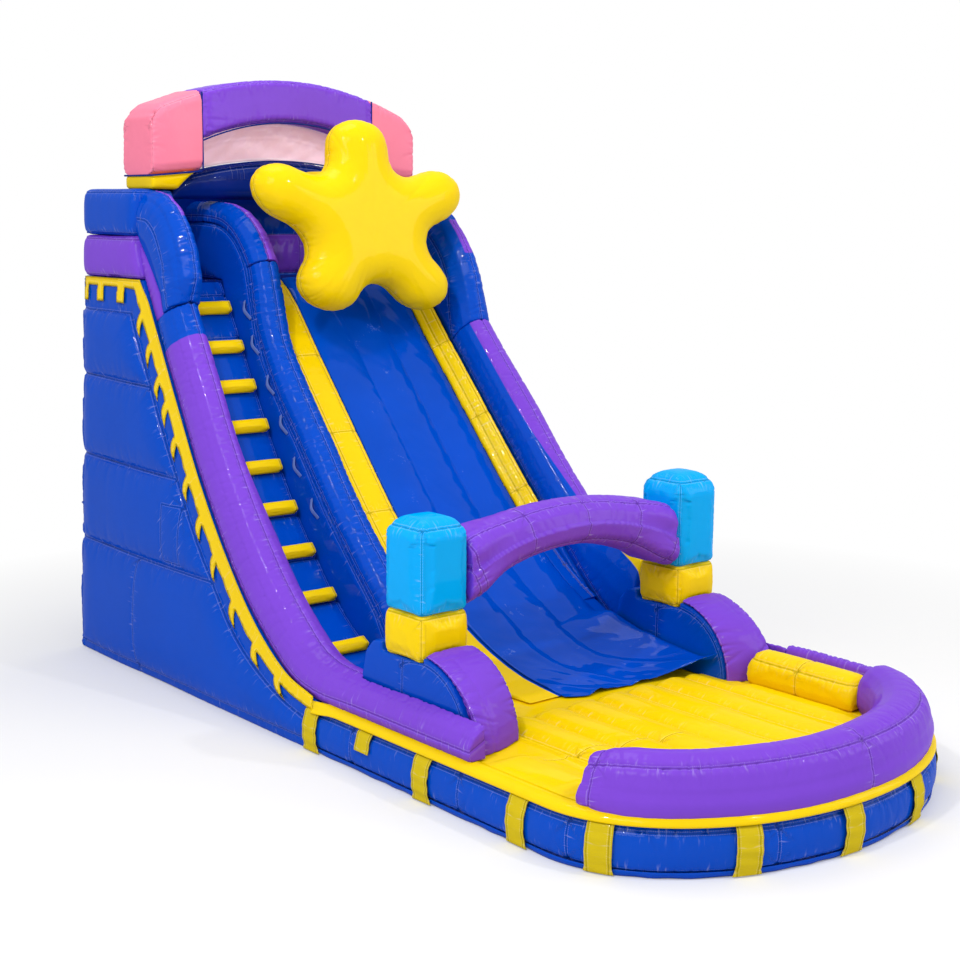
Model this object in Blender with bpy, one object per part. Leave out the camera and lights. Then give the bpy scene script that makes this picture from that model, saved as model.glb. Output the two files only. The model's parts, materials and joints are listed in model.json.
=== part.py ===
"""Inflatable water slide with one climbing lane, one sliding lane and a landing pool.

Metres, +Z up. The origin is on the ground under the middle of the slide. The pool faces -Y,
the tower stands at +Y, and the climbing lane is on the -X side.
"""

import math

import bmesh
import bpy
import numpy as np
from mathutils import Matrix, Vector

# Footprint
HALF_WIDTH = 1.90
BACK_Y = 4.152
STRAIGHT_FRONT_Y = -2.854
FRONT_BULGE = 1.298
LEFT_WALL_FRONT = 0.0
RIGHT_WALL_FRONT = -0.30
LEAN = 0.0228  # the side walls draw in by this share of their distance for each metre up

# Heights
BASE_TOP = 0.372
FLOOR_TOP = 0.425
SEAM_HEIGHTS = (1.152, 2.0, 2.797)
TRIM_TOP = 3.76
BAND_SEAM = 4.16
WALL_TOP = 4.60
PLATFORM_TOP = 3.74

# Thicknesses and clearances
GAP = 0.0003
SKIN_GAP = 0.0008
WALL_THICK = 0.45
SHELL = 0.025
RAIL_HEIGHT = 0.41
BED_THICK = 0.15
TRIM_THICK = 0.008
TRIM_WIDTH = 0.14
TAB_REACH = 0.27
TAB_SHARES = (0.055, 0.155, 0.24, 0.335, 0.43, 0.515, 0.60, 0.68, 0.745, 0.81, 0.875)
STRAPS = [(3.33, 3.48), (3.75, 3.88), (4.08, 4.13)]
EDGE_BAND = 0.32
WALL_CROWN = 0.045

# Lanes, measured before the walls lean in
INNER_X = HALF_WIDTH - WALL_THICK
DIVIDER_LEFT = -0.93
DIVIDER_RIGHT = -0.575
SHEET_LEFT = -0.21
SHEET_RIGHT = 1.27
SHEET_FRONT = -1.44
SHEET_EDGE = [(-0.21, -1.34), (-0.03, -1.35), (0.35, -1.32), (0.63, -1.35), (0.77, -1.39),
              (1.11, -1.43), (1.19, -1.44)]  # front edge of the cover sheet, as (x, y)
STRIP_START = 6  # the strips begin at this point of the slide's path
CHANNELS = 7
CHANNEL_RISE = 0.045
PLATFORM_FRONT = 3.05
BACK_WALL_FRONT = 3.80

# Side profiles as (y, z) points, from the pool up to the tower
REST = FLOOR_TOP + GAP
RAIL_FRONT_Y = -1.96
LEFT_WALL_TOP = [(LEFT_WALL_FRONT, REST), (0.15, 0.44), (0.45, 0.55), (0.95, 0.88), (1.45, 1.39),
                 (1.90, 1.96), (2.33, 2.62), (2.75, 3.30), (3.03, TRIM_TOP)]
LEFT_NECK = [(3.10, 3.95), (3.17, BAND_SEAM)]
LEFT_SHOULDER = [(2.40, 3.52), (2.35, 3.76), (2.39, 3.98), (2.50, 4.20), (2.68, 4.42),
                 (2.90, 4.56), (3.17, WALL_TOP)]
RIGHT_WALL_TOP = [(RIGHT_WALL_FRONT, REST), (0.00, 0.62), (0.35, 0.97), (0.70, 1.34), (1.15, 1.82),
                  (1.60, 2.33), (2.30, 3.12), (2.62, 3.48), (2.87, TRIM_TOP)]
RIGHT_NECK = [(2.97, 3.95), (3.05, BAND_SEAM)]
RIGHT_SHOULDER = [(2.02, 3.44), (2.00, 3.66), (2.08, 3.92), (2.22, 4.16), (2.44, 4.40),
                  (2.72, 4.56), (3.05, WALL_TOP)]
CLIMB_TOP = [(0.03, 0.47), (0.45, 0.57), (0.95, 0.88), (1.45, 1.39), (1.90, 1.96),
             (2.33, 2.62), (2.75, 3.30), (PLATFORM_FRONT - GAP, PLATFORM_TOP)]
SLIDE_TOP = [(-1.19, 0.440), (-0.70, 0.500), (-0.20, 0.66), (0.30, 0.92), (0.75, 1.27),
             (1.24, 1.77), (1.67, 2.26), (2.02, 2.66), (2.38, 3.07), (2.77, 3.53),
             (PLATFORM_FRONT - GAP, PLATFORM_TOP)]
DIVIDER_TOP = [(0.00, 0.60), (0.30, 1.05), (0.75, 1.50), (1.12, 1.88), (1.54, 2.38),
               (1.89, 2.78), (2.20, 3.22), (2.33, 3.60), (2.45, 3.98), (2.68, 4.27),
               (3.00, 4.45), (3.40, 4.50), (BACK_WALL_FRONT - GAP, 4.50)]
DIVIDER_TUBE = 0.21
STEP_COUNT = 9
STEP_LOW, STEP_HIGH = 0.62, 3.46
STEP_RIGHT = -0.985
STEP_RISE = 0.095

# Front group
PILLAR_HALF = 0.26
PILLAR_X = 1.44
PILLAR_FRONT_Y = -1.19
PILLAR_FOOT = 0.97
PILLAR_JOINT = 1.33
PILLAR_TOP = 2.17
FENDER_REAR = -0.38
FENDER_MIDDLE = (-1.17, 0.43)  # centre of the fender's round front, as (y, z)
FENDER_DEEP = 0.58
FENDER_HIGH = 0.60
FENDER_LOBE = [(-0.38, 0.43), (-0.40, 0.73), (-0.45, 0.93), (-0.54, 1.03), (-0.62, 1.05)]
FENDER_LEFT = PILLAR_X - PILLAR_HALF
BUMPER_WIDE = 0.45
BUMPER_HIGH = 0.385
BUMPER_LEFT_Y = -3.18
SIDE_TUBE_WIDE = 0.18
SIDE_TUBE_HIGH = 0.30

# Crown
CROWN_FRONT = 3.09
CROWN_DEPTH = 0.58
CROWN_INNER = 1.00
CROWN_OUTER = 1.55
LINTEL_HALF = 1.27
LINTEL_LOW = 4.51

# Starfish
STAR_MIDDLE = (0.40, 2.25, 4.30)
STAR_TIP = 1.06
ARM_HALF = 0.26
ARM_WEB = 0.22
STAR_THICK = 0.25

# Rear fittings
RING_X = 1.15
RING_BAR_Z = 0.135
ZIP_HALF = 0.50
ZIP_Z = 0.19
SLEEVE_X = -0.95


def clear_scene():
    for old in list(bpy.data.objects):
        bpy.data.objects.remove(old)


def vinyl(name, colour, roughness=0.28, metallic=0.0):
    """One coated fabric, or a metal, as a plain Principled material."""
    found = bpy.data.materials.get(name)
    if found:
        return found
    made = bpy.data.materials.new(name)
    made.use_nodes = True
    shader = made.node_tree.nodes["Principled BSDF"]
    shader.inputs["Base Color"].default_value = (*colour, 1.0)
    shader.inputs["Roughness"].default_value = roughness
    shader.inputs["Metallic"].default_value = metallic
    made.diffuse_color = (*colour, 1.0)
    return made


def blue():
    return vinyl("blue_vinyl", (0.0, 0.08, 0.62))


def navy():
    return vinyl("navy_vinyl", (0.0, 0.03, 0.28))


def purple():
    return vinyl("purple_vinyl", (0.14, 0.03, 0.58))


def yellow():
    return vinyl("yellow_vinyl", (1.0, 0.72, 0.0))


def pink():
    return vinyl("pink_vinyl", (1.0, 0.26, 0.38))


def pale_pink():
    return vinyl("pale_pink_film", (0.85, 0.62, 0.70), 0.35)


def sky():
    return vinyl("light_blue_vinyl", (0.0, 0.42, 0.90))


def steel():
    return vinyl("galvanised_steel", (0.62, 0.63, 0.65), 0.35, 1.0)


def webbing():
    return vinyl("polyester_webbing", (0.03, 0.03, 0.035), 0.8)


def leaned(point):
    """The point after the side walls' inward lean."""
    x, y, z = point
    return (x * (1 - LEAN * z), y, z)


def finish_object(name, mesh, material, smooth=True, helper=False):
    """Put the mesh into the scene with its origin under its own middle."""
    points = [vertex.co for vertex in mesh.vertices]
    low = Vector(min(p[i] for p in points) for i in range(3))
    high = Vector(max(p[i] for p in points) for i in range(3))
    origin = Vector(((low.x + high.x) / 2, (low.y + high.y) / 2, low.z))
    mesh.transform(Matrix.Translation(-origin))
    thing = bpy.data.objects.new(name, mesh)
    thing.location = origin
    bpy.context.scene.collection.objects.link(thing)
    mesh.materials.append(material)
    if smooth:
        mesh.shade_smooth()
        mesh.set_sharp_from_angle(angle=math.radians(40))
    if helper:
        thing.hide_render = True
        thing.display_type = "WIRE"
    return thing


def loft(name, rings, material, lean=True, smooth=True, helper=False, close=False):
    """A closed skin over rings that all have the same number of points."""
    form = bmesh.new()
    loops = []
    for ring in rings:
        loops.append([form.verts.new(leaned(p) if lean else p) for p in ring])
    spans = len(loops) if close else len(loops) - 1
    count = len(loops[0])
    for i in range(spans):
        here, there = loops[i], loops[(i + 1) % len(loops)]
        for j in range(count):
            k = (j + 1) % count
            form.faces.new((here[j], here[k], there[k], there[j]))
    if not close:
        form.faces.new(loops[0])
        form.faces.new(loops[-1])
    bmesh.ops.recalc_face_normals(form, faces=form.faces)
    mesh = bpy.data.meshes.new(name)
    form.to_mesh(mesh)
    form.free()
    return finish_object(name, mesh, material, smooth, helper)


def boolean(target, tool, operation):
    modifier = target.modifiers.new(tool.name, "BOOLEAN")
    modifier.operation = operation
    modifier.solver = "EXACT"
    modifier.object = tool


def smooth_path(points, count):
    """A Catmull-Rom curve through the points, as evenly spaced samples."""
    given = np.array(points, float)
    ends = np.vstack([2 * given[0] - given[1], given, 2 * given[-1] - given[-2]])
    dense = []
    for i in range(1, len(ends) - 2):
        before, start, end, after = ends[i - 1], ends[i], ends[i + 1], ends[i + 2]
        for t in np.linspace(0, 1, 24, endpoint=False):
            dense.append(0.5 * (2 * start + (end - before) * t
                                + (2 * before - 5 * start + 4 * end - after) * t * t
                                + (3 * start - before - 3 * end + after) * t ** 3))
    dense.append(given[-1])
    dense = np.array(dense)
    along = np.concatenate([[0], np.cumsum(np.linalg.norm(np.diff(dense, axis=0), axis=1))])
    wanted = np.linspace(0, along[-1], count)
    return np.stack([np.interp(wanted, along, dense[:, k]) for k in (0, 1)], axis=1)


def offset_path(path, distance):
    """The path moved sideways, up and forward where distance is positive."""
    path = np.asarray(path, float)
    steps = np.diff(path, axis=0)
    steps /= np.linalg.norm(steps, axis=1)[:, None]
    before = np.vstack([steps[:1], steps])
    after = np.vstack([steps, steps[-1:]])
    mean = before + after
    mean /= np.linalg.norm(mean, axis=1)[:, None]
    stretch = np.sum(mean * after, axis=1)
    normal = np.stack([-mean[:, 1], mean[:, 0]], axis=1) / stretch[:, None]
    return path + normal * np.reshape(distance, (-1, 1))


def blend(share, start, end):
    """A smooth change from start to end as share goes from 0 to 1."""
    share = np.clip(share, 0, 1)
    return start + (end - start) * share * share * (3 - 2 * share)


def horseshoe(low, high, middle_x, half_width, steps=12, foot=35):
    """One section of an inflated tube with a flat foot, between two (y, z) points."""
    base = math.sin(math.radians(foot))
    ring = []
    for angle in np.radians(np.linspace(-foot, 180 + foot, steps)):
        rise = (math.sin(angle) + base) / (1 + base)
        y, z = np.asarray(low) + (np.asarray(high) - np.asarray(low)) * rise
        ring.append((middle_x + half_width * math.cos(angle), y, z))
    return ring


def flat_ring(low, high, x_from, x_to):
    return [(x_from, *low), (x_to, *low), (x_to, *high), (x_from, *high)]


def ribbon(name, low, high, x_from, x_to, material, **options):
    """A strip with square edges between two paths with the same number of points."""
    rings = [flat_ring(a, b, x_from, x_to) for a, b in zip(low, high)]
    return loft(name, rings, material, smooth=options.pop("smooth", False), **options)


def prism(name, outline, x_from, x_to, material, **options):
    """A (y, z) outline drawn out along X."""
    rings = [[(x, y, z) for y, z in outline] for x in (x_from, x_to)]
    return loft(name, rings, material, smooth=options.pop("smooth", False), **options)


def block(name, low, high, material, bevel=0.0, lean=False, helper=False):
    """A box between two corners, with its edges bevelled once where asked."""
    form = bmesh.new()
    bmesh.ops.create_cube(form, size=1.0)
    for vertex in form.verts:
        share = vertex.co + Vector((0.5, 0.5, 0.5))
        vertex.co = Vector(low[i] + (high[i] - low[i]) * share[i] for i in range(3))
    if bevel:
        bmesh.ops.bevel(form, geom=form.edges, offset=bevel, segments=1, affect="EDGES")
    if lean:
        for vertex in form.verts:
            vertex.co = Vector(leaned(vertex.co))
    mesh = bpy.data.meshes.new(name)
    form.to_mesh(mesh)
    form.free()
    return finish_object(name, mesh, material, smooth=False, helper=helper)


class SideProfile:
    """The wall top, its neck and its shoulder curve on one side."""

    def __init__(self, wall, neck, shoulder, joint_z, side):
        self.side = side
        self.front = wall[0][0]
        self.wall = smooth_path(wall, 21)
        for i in range(1, len(self.wall)):
            self.wall[i, 1] = max(self.wall[i, 1], self.wall[i - 1, 1] + 0.002)
        neck_path = smooth_path([wall[-1], *neck], 5)[1:]
        flat = [(y, REST) for y in np.linspace(RAIL_FRONT_Y, self.front, 5)[:-1]]
        self.full = np.vstack([flat, self.wall, neck_path])
        self.wall_start = len(flat)
        self.joint = int(np.argmin(np.abs(self.full[:, 1] - joint_z)))
        self.crest = offset_path(self.full, RAIL_HEIGHT)
        count = len(self.full) - self.joint
        points = [tuple(self.crest[self.joint]), *shoulder[1:]]
        self.shoulder = smooth_path(points, count)
        self.neck = self.full[self.wall_start + len(self.wall) - 1:]

    def x(self, value):
        return self.side * value


LEFT = SideProfile(LEFT_WALL_TOP, LEFT_NECK, LEFT_SHOULDER, 3.30, -1)
RIGHT = SideProfile(RIGHT_WALL_TOP, RIGHT_NECK, RIGHT_SHOULDER, 3.12, 1)
CLIMB = smooth_path(CLIMB_TOP, 22)
SLIDE = smooth_path(SLIDE_TOP, 26)


def wall_rows(profile, limits):
    """Heights of the wall's rows: its chamber seams and every corner of its sloping top."""
    heights = set(limits)
    for low, high in zip(limits, limits[1:]):
        for share in (0.08, 0.3, 0.7, 0.92):
            heights.add(low + (high - low) * share)
    tops = [float(z) for z in profile.wall[:, 1]]
    heights = {h for h in heights if min(abs(h - z) for z in tops) > 0.03 or h in limits}
    heights |= {z for z in tops if min(abs(z - h) for h in limits) > 0.001}
    return sorted(heights)


def side_wall(name, profile):
    """Four air chambers with the edge that carries the rail, hollow inside."""
    top = np.vstack([profile.wall, [(3.5, TRIM_TOP), (BACK_Y, TRIM_TOP)]])
    along = np.concatenate([[0], np.cumsum(np.linalg.norm(np.diff(top, axis=0), axis=1))])
    seam = offset_path(top, -blend((along - 0.2) / 1.2, 0.20, EDGE_BAND))
    corner = len(seam) - 3
    chamber_top = float(seam[corner, 1])
    limits = (0.0, *SEAM_HEIGHTS, chamber_top, TRIM_TOP)
    rings = []
    for z in wall_rows(profile, limits):
        front = profile.front
        if z > REST:
            front = float(np.interp(z, profile.wall[:, 1], profile.wall[:, 0]))
        edge = float(np.interp(z, seam[:corner + 1, 1], seam[:corner + 1, 0]))
        edge = max(edge, front + 0.01)
        lift = 0.0
        for low, high in zip(limits[:-1], limits[1:-1]):
            if low <= z <= high:
                lift = math.sin(math.pi * (z - low) / (high - low)) ** 0.55
        outer = [(profile.x(HALF_WIDTH), front, z)]
        for share in (0.0, 0.04, 0.14, 0.35, 0.65, 0.88, 0.97, 1.0):
            swell = math.sin(math.pi * share) ** 0.35
            outer.append((profile.x(HALF_WIDTH + WALL_CROWN * max(lift, 0.0) * swell),
                          edge + (BACK_Y - edge) * share, z))
        rings.append([(profile.x(INNER_X), front, z)] + outer
                     + [(profile.x(INNER_X), BACK_Y, z)])
    wall = loft(name, rings, blue())
    roof = offset_path(profile.wall, -SHELL * 1.6)
    kept = [(y, z) for y, z in roof if z > 0.42 and z < TRIM_TOP - SHELL * 2]
    outline = [(kept[0][0], SHELL), *kept, (kept[-1][0] + 0.05, TRIM_TOP - SHELL),
               (BACK_Y - SHELL, TRIM_TOP - SHELL), (BACK_Y - SHELL, SHELL)]
    cavity = prism(name + "_air", outline, profile.x(HALF_WIDTH - SHELL),
                   profile.x(INNER_X + SHELL), blue(), helper=True)
    boolean(wall, cavity, "DIFFERENCE")
    sides = sorted((profile.x(INNER_X - 0.05), profile.x(INNER_X + 0.06)))
    port = block(name + "_port", (sides[0], 3.93, 0.60), (sides[1], 4.03, 0.70), blue(),
                 helper=True)
    boolean(wall, port, "DIFFERENCE")
    return wall


def trim(name, profile):
    """The yellow edging on a side wall, with its hooked tabs and its level straps."""
    back = BACK_Y - 0.01
    top = np.vstack([profile.wall, [(back, TRIM_TOP)]])
    along = np.concatenate([[0], np.cumsum(np.linalg.norm(np.diff(top, axis=0), axis=1))])
    normals = offset_path(top, 1.0) - top
    slope_length = along[-2]

    def inward(s, depth):
        """The point on the wall at this distance along its top and this depth below it."""
        point = np.array([np.interp(s, along, top[:, k]) for k in (0, 1)])
        normal = np.array([np.interp(s, along, normals[:, k]) for k in (0, 1)])
        y, z = point - normal * depth * float(blend(s / 1.4, 0.62, 1.0))
        return (min(y, back), z)

    reach = TAB_REACH - TRIM_WIDTH
    edge = [(s, TRIM_WIDTH) for s in along[:-1]]
    for share in TAB_SHARES:
        tip = share * slope_length
        edge = [(s, d) for s, d in edge if not tip - 0.02 < s < tip + 0.22]
        place = len([s for s, _ in edge if s <= tip])
        claw = [(0.11, 0.0), (0.10, 0.35), (0.065, 0.65), (0.0, 1.0), (0.07, 0.98),
                (0.13, 0.74), (0.18, 0.36), (0.20, 0.0)]
        edge[place:place] = [(tip + run, TRIM_WIDTH + reach * down) for run, down in claw]
    low = [inward(s, depth) for s, depth in edge]
    level = TRIM_TOP - TRIM_WIDTH
    low = [(y, z) for y, z in low if y < STRAPS[0][0] - 0.06]
    for y_from, y_to in STRAPS:
        low += [(y_from, level), (y_from, level - 0.10), (y_to, level - 0.10), (y_to, level)]
    low.append((back, level))
    low[0] = (profile.front, low[0][1])
    outline = [*reversed([tuple(p) for p in top]), *low]
    return prism(name, outline, profile.x(HALF_WIDTH + GAP),
                 profile.x(HALF_WIDTH + GAP + TRIM_THICK), yellow())


def band(name, profile, low, high, material):
    """One level air chamber at the top of a side wall, behind the neck."""
    neck = profile.neck
    if low < BAND_SEAM:
        front_rows = [(y, z) for y, z in neck if low - 1e-6 <= z <= high + 1e-6]
    else:
        front_rows = [(neck[-1][0], z) for z in np.linspace(low, high, 5)]
    rings = []
    for y, z in front_rows:
        share = (z - low) / (high - low)
        lift = math.sin(math.pi * min(max(share, 0), 1)) ** 0.5
        height = min(max(z, low + GAP), high - GAP if high < WALL_TOP else high)
        front = y + GAP
        outer = []
        for along in (0.0, 0.06, 0.25, 0.6, 0.9, 1.0):
            swell = math.sin(math.pi * along) ** 0.4
            outer.append((profile.x(HALF_WIDTH + 0.035 * lift * swell),
                          front + (BACK_Y - front) * along, height))
        rings.append([(profile.x(INNER_X), front, height)] + outer
                     + [(profile.x(INNER_X), BACK_Y, height)])
    return loft(name, rings, material)


def rail(name, profile):
    """The tube that tops a side wall, from the pool to the tower."""
    low = offset_path(profile.full, GAP)
    last = profile.joint + 1
    middle = profile.x(HALF_WIDTH - WALL_THICK / 2)
    rings = [horseshoe(a, b, middle, WALL_THICK / 2)
             for a, b in zip(low[:last], profile.crest[:last])]
    nose = [(x * 0.985 + middle * 0.015, y - 0.03, REST + 0.03 + (z - REST - 0.03) * 0.9)
            for x, y, z in rings[0]]
    rings.insert(0, [(x, y, max(z, REST + 0.02)) for x, y, z in nose])
    return loft(name, rings, purple())


def between(low, high, share):
    return low + (high - low) * np.reshape(share, (-1, 1))


def shoulder_split(profile):
    """The line between the purple neck and the blue shoulder tube."""
    low = offset_path(profile.full, GAP)[profile.joint:]
    share = np.linspace(0.36, 0.0, len(low))
    return low, between(low, profile.shoulder, share)


def shift_start(path, distance):
    """The path with its first point moved a little up the path."""
    moved = np.array(path, float)
    step = moved[1] - moved[0]
    moved[0] += step / np.linalg.norm(step) * distance
    return moved


def rail_shoulder(name, profile):
    """The purple part that goes on up behind the blue shoulder."""
    low, split = shoulder_split(profile)
    low, split = shift_start(low, GAP * 2), shift_start(split, GAP * 2)
    middle = profile.x(HALF_WIDTH - WALL_THICK / 2)
    rings = []
    for a, b in list(zip(low, split))[:-1]:
        ring = []
        for side, rise in ((-1, 0.0), (1, 0.0), (1.08, 0.35), (1.08, 0.7), (1, 1.0),
                           (-1, 1.0), (-1.08, 0.7), (-1.08, 0.35)):
            y, z = a + (b - a) * rise
            ring.append((middle + side * 0.185, y, z))
        rings.append(ring)
    return loft(name, rings, purple())


def tower_tube(name, profile, material, with_neck):
    """The fat tube that turns over the top of the rail."""
    low, split = shoulder_split(profile)
    foot = offset_path(split, GAP * 2) if with_neck else low
    foot[-1] = low[-1]
    crest = profile.shoulder.copy()
    foot, crest = shift_start(foot, GAP * 2), shift_start(crest, GAP * 2)
    foot[-1][0] = min(foot[-1][0], profile.neck[-1][0])
    middle = profile.x(HALF_WIDTH - WALL_THICK / 2)
    rings = [horseshoe(a, b, middle, WALL_THICK / 2) for a, b in zip(foot, crest)]
    return loft(name, rings, material)


def back_wall():
    """Level air chambers between the two side walls, hollow inside."""
    limits = (0.34, *SEAM_HEIGHTS, TRIM_TOP, BAND_SEAM, WALL_TOP)
    levels = [(0.0, 0.0)]
    for low, high in zip(limits, limits[1:]):
        levels += [(low + (high - low) * s, math.sin(math.pi * s) ** 0.55)
                   for s in (0.0, 0.07, 0.3, 0.7, 0.93)]
    levels.append((WALL_TOP, 0.0))
    half = INNER_X - GAP
    rings = []
    for z, lift in levels:
        across = (-1.0, -0.96, -0.5, 0.5, 0.96, 1.0)
        swell = [math.cos(math.pi / 2 * a) ** 0.3 if abs(a) < 1 else 0.0 for a in across]
        front = [(half * a, BACK_WALL_FRONT, z) for a in across]
        rear = [(half * a, BACK_Y + 0.05 * lift * s, z) for a, s in zip(across, swell)]
        rings.append(front + rear[::-1])
    wall = loft("back_wall", rings, blue())
    air = block("back_wall_air", (-half + SHELL, BACK_WALL_FRONT + SHELL, SHELL),
                (half - SHELL, BACK_Y - SHELL, WALL_TOP - SHELL), blue(), lean=True,
                helper=True)
    boolean(wall, air, "DIFFERENCE")
    port = block("back_wall_port", (-half - 0.05, 3.93, 0.60), (-half + 0.07, 4.03, 0.70),
                 blue(), helper=True)
    boolean(wall, port, "DIFFERENCE")
    mouth = block("back_wall_mouth", (SLEEVE_X - 0.06, BACK_Y - 0.06, 0.10),
                  (SLEEVE_X + 0.06, BACK_Y + 0.05, 0.20), blue(), helper=True)
    boolean(wall, mouth, "DIFFERENCE")
    return wall


def base_outline(inset, rear_half, rear_y):
    """Plan outline of the base, counter-clockwise from its left rear corner."""
    half = HALF_WIDTH - inset
    left, right = LEFT_WALL_FRONT - GAP, RIGHT_WALL_FRONT - GAP
    points = [(-rear_half, rear_y), (-rear_half, left), (-half, left)]
    points += [(-half, y) for y in (-1.0, -2.0)]
    for angle in np.radians(np.linspace(180, 360, 27)):
        points.append((half * math.cos(angle),
                       STRAIGHT_FRONT_Y + (FRONT_BULGE - inset) * math.sin(angle)))
    points += [(half, y) for y in (-2.0, -1.0, right)]
    points += [(rear_half, right), (rear_half, rear_y)]
    return points


def pool_base():
    """The air chamber that the pool and both lanes stand on."""
    inner = INNER_X - GAP
    rear = BACK_WALL_FRONT - GAP
    levels = ((0.0, 0.045), (0.03, 0.01), (0.10, -0.012), (0.19, -0.022), (0.28, -0.012),
              (0.345, 0.012), (BASE_TOP, 0.045))
    rings = [[(x, y, z) for x, y in base_outline(inset, inner, rear)] for z, inset in levels]
    base = loft("pool_base", rings, blue())
    hollow = []
    for z in (SHELL, BASE_TOP - SHELL):
        ring = [(x, y, z) for x, y in base_outline(SHELL + 0.045, inner - SHELL, rear - SHELL)]
        for i in (1, 2, -2, -3):
            ring[i] = (ring[i][0], ring[i][1] - SHELL, z)
        hollow.append(ring)
    air = loft("pool_base_air", hollow, blue(), smooth=False, helper=True)
    boolean(base, air, "DIFFERENCE")
    port = block("pool_base_port", (0.5, BACK_WALL_FRONT - 0.08, 0.14),
                 (0.6, BACK_WALL_FRONT + 0.05, 0.24), blue(), helper=True)
    boolean(base, port, "DIFFERENCE")
    return base


def half_width_at(y, inset):
    """Half the width of the base at y."""
    if y >= STRAIGHT_FRONT_Y:
        return HALF_WIDTH - inset
    share = (STRAIGHT_FRONT_Y - y) / (FRONT_BULGE - inset)
    return (HALF_WIDTH - inset) * math.sqrt(max(0.0, 1 - share * share))


def floor_height(x, y):
    """Top of the pool floor: lengthwise channels in the pool, a padded sill in the way out."""
    sill_y = min(-2.03 - y, y - (BUMPER_LEFT_Y + 0.32))
    if x < -1.40 and sill_y > 0.01:
        rise = blend((half_width_at(y, 0.02) + x) / 0.20, -0.02, 0.035)
        return FLOOR_TOP + rise * float(blend(sill_y / 0.1, 0.0, 1.0))
    left, right, reach_y = -1.13, 1.33, FRONT_BULGE - BUMPER_WIDE - 0.17
    bend = max(0.0, STRAIGHT_FRONT_Y - y) / reach_y
    reach = 1.33 * math.sqrt(max(0.0, 1 - bend * bend))
    beside_fender = x > FENDER_LEFT - 0.06 and y > -2.0
    if y > SHEET_FRONT - 0.02 or beside_fender or bend >= 1 or not left < x < right:
        return FLOOR_TOP
    wave = abs(math.sin(math.pi * CHANNELS * (x - left) / (right - left))) ** 0.6
    fade = blend((reach - abs(x)) / 0.08, 0.0, 1.0) * blend((1 - bend) / 0.1, 0.0, 1.0)
    return FLOOR_TOP + CHANNEL_RISE * wave * float(fade)


def floor_rear(x):
    """The floor's rear edge, which runs from the front of one side wall to the other."""
    share = min(1.0, (x + HALF_WIDTH) / (HALF_WIDTH + INNER_X - 0.05))
    return LEFT_WALL_FRONT + (RIGHT_WALL_FRONT - LEFT_WALL_FRONT) * share - GAP * 2


def pool_floor():
    """The yellow floor inside the bumpers."""
    tip = STRAIGHT_FRONT_Y - (FRONT_BULGE - 0.02) * 0.997
    rows = [0.0, SHEET_FRONT - 0.015, SHEET_FRONT - 0.06, -1.87, -1.95, -2.04, -2.14, -2.5,
            -2.78, -2.90, -3.08, -3.25, -3.42, -3.53, -3.66, -3.8, -3.94, -4.05, tip]
    full = half_width_at(-1.0, 0.02)
    across = {-1.0, 1.0, -0.97, -0.93, -0.87, -0.80, -0.69, 0.745, 0.86, 0.93}
    spacing = 2.46 / (CHANNELS * 4)
    across |= {(-1.13 + spacing * i) / full for i in range(CHANNELS * 4 + 1)}
    across = sorted(across | {(INNER_X - 0.05) / full})
    low = BASE_TOP + GAP
    form = bmesh.new()
    top, lefts, rights = [], [], []
    for y in rows:
        half, foot = half_width_at(y, 0.02), half_width_at(y, 0.045)
        rear = y == rows[0]
        top.append([form.verts.new(leaned((half * share, floor_rear(half * share) if rear else y,
                                           floor_height(half * share, y))))
                    for share in across])
        lefts.append(form.verts.new(leaned((-foot, floor_rear(-foot) if rear else y, low))))
        rights.append(form.verts.new(leaned((foot, floor_rear(foot) if rear else y, low))))
    bend_x = INNER_X - 0.05
    bend_i = across.index(bend_x / full)
    bend = form.verts.new(leaned((bend_x, floor_rear(bend_x), low)))
    last = len(across) - 1
    for j in range(len(rows) - 1):
        for i in range(last):
            form.faces.new((top[j][i], top[j][i + 1], top[j + 1][i + 1], top[j + 1][i]))
        form.faces.new((top[j][0], top[j + 1][0], lefts[j + 1], lefts[j]))
        form.faces.new((top[j][last], top[j + 1][last], rights[j + 1], rights[j]))
        middle = [bend] if j == 0 else []
        form.faces.new((lefts[j], lefts[j + 1], rights[j + 1], rights[j], *middle))
    form.faces.new([*top[0][:bend_i + 1], bend, lefts[0]])
    form.faces.new([*top[0][bend_i:], rights[0], bend])
    form.faces.new([*top[-1], rights[-1], lefts[-1]])
    bmesh.ops.recalc_face_normals(form, faces=form.faces)
    mesh = bpy.data.meshes.new("pool_floor")
    form.to_mesh(mesh)
    form.free()
    return finish_object("pool_floor", mesh, yellow())


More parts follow.
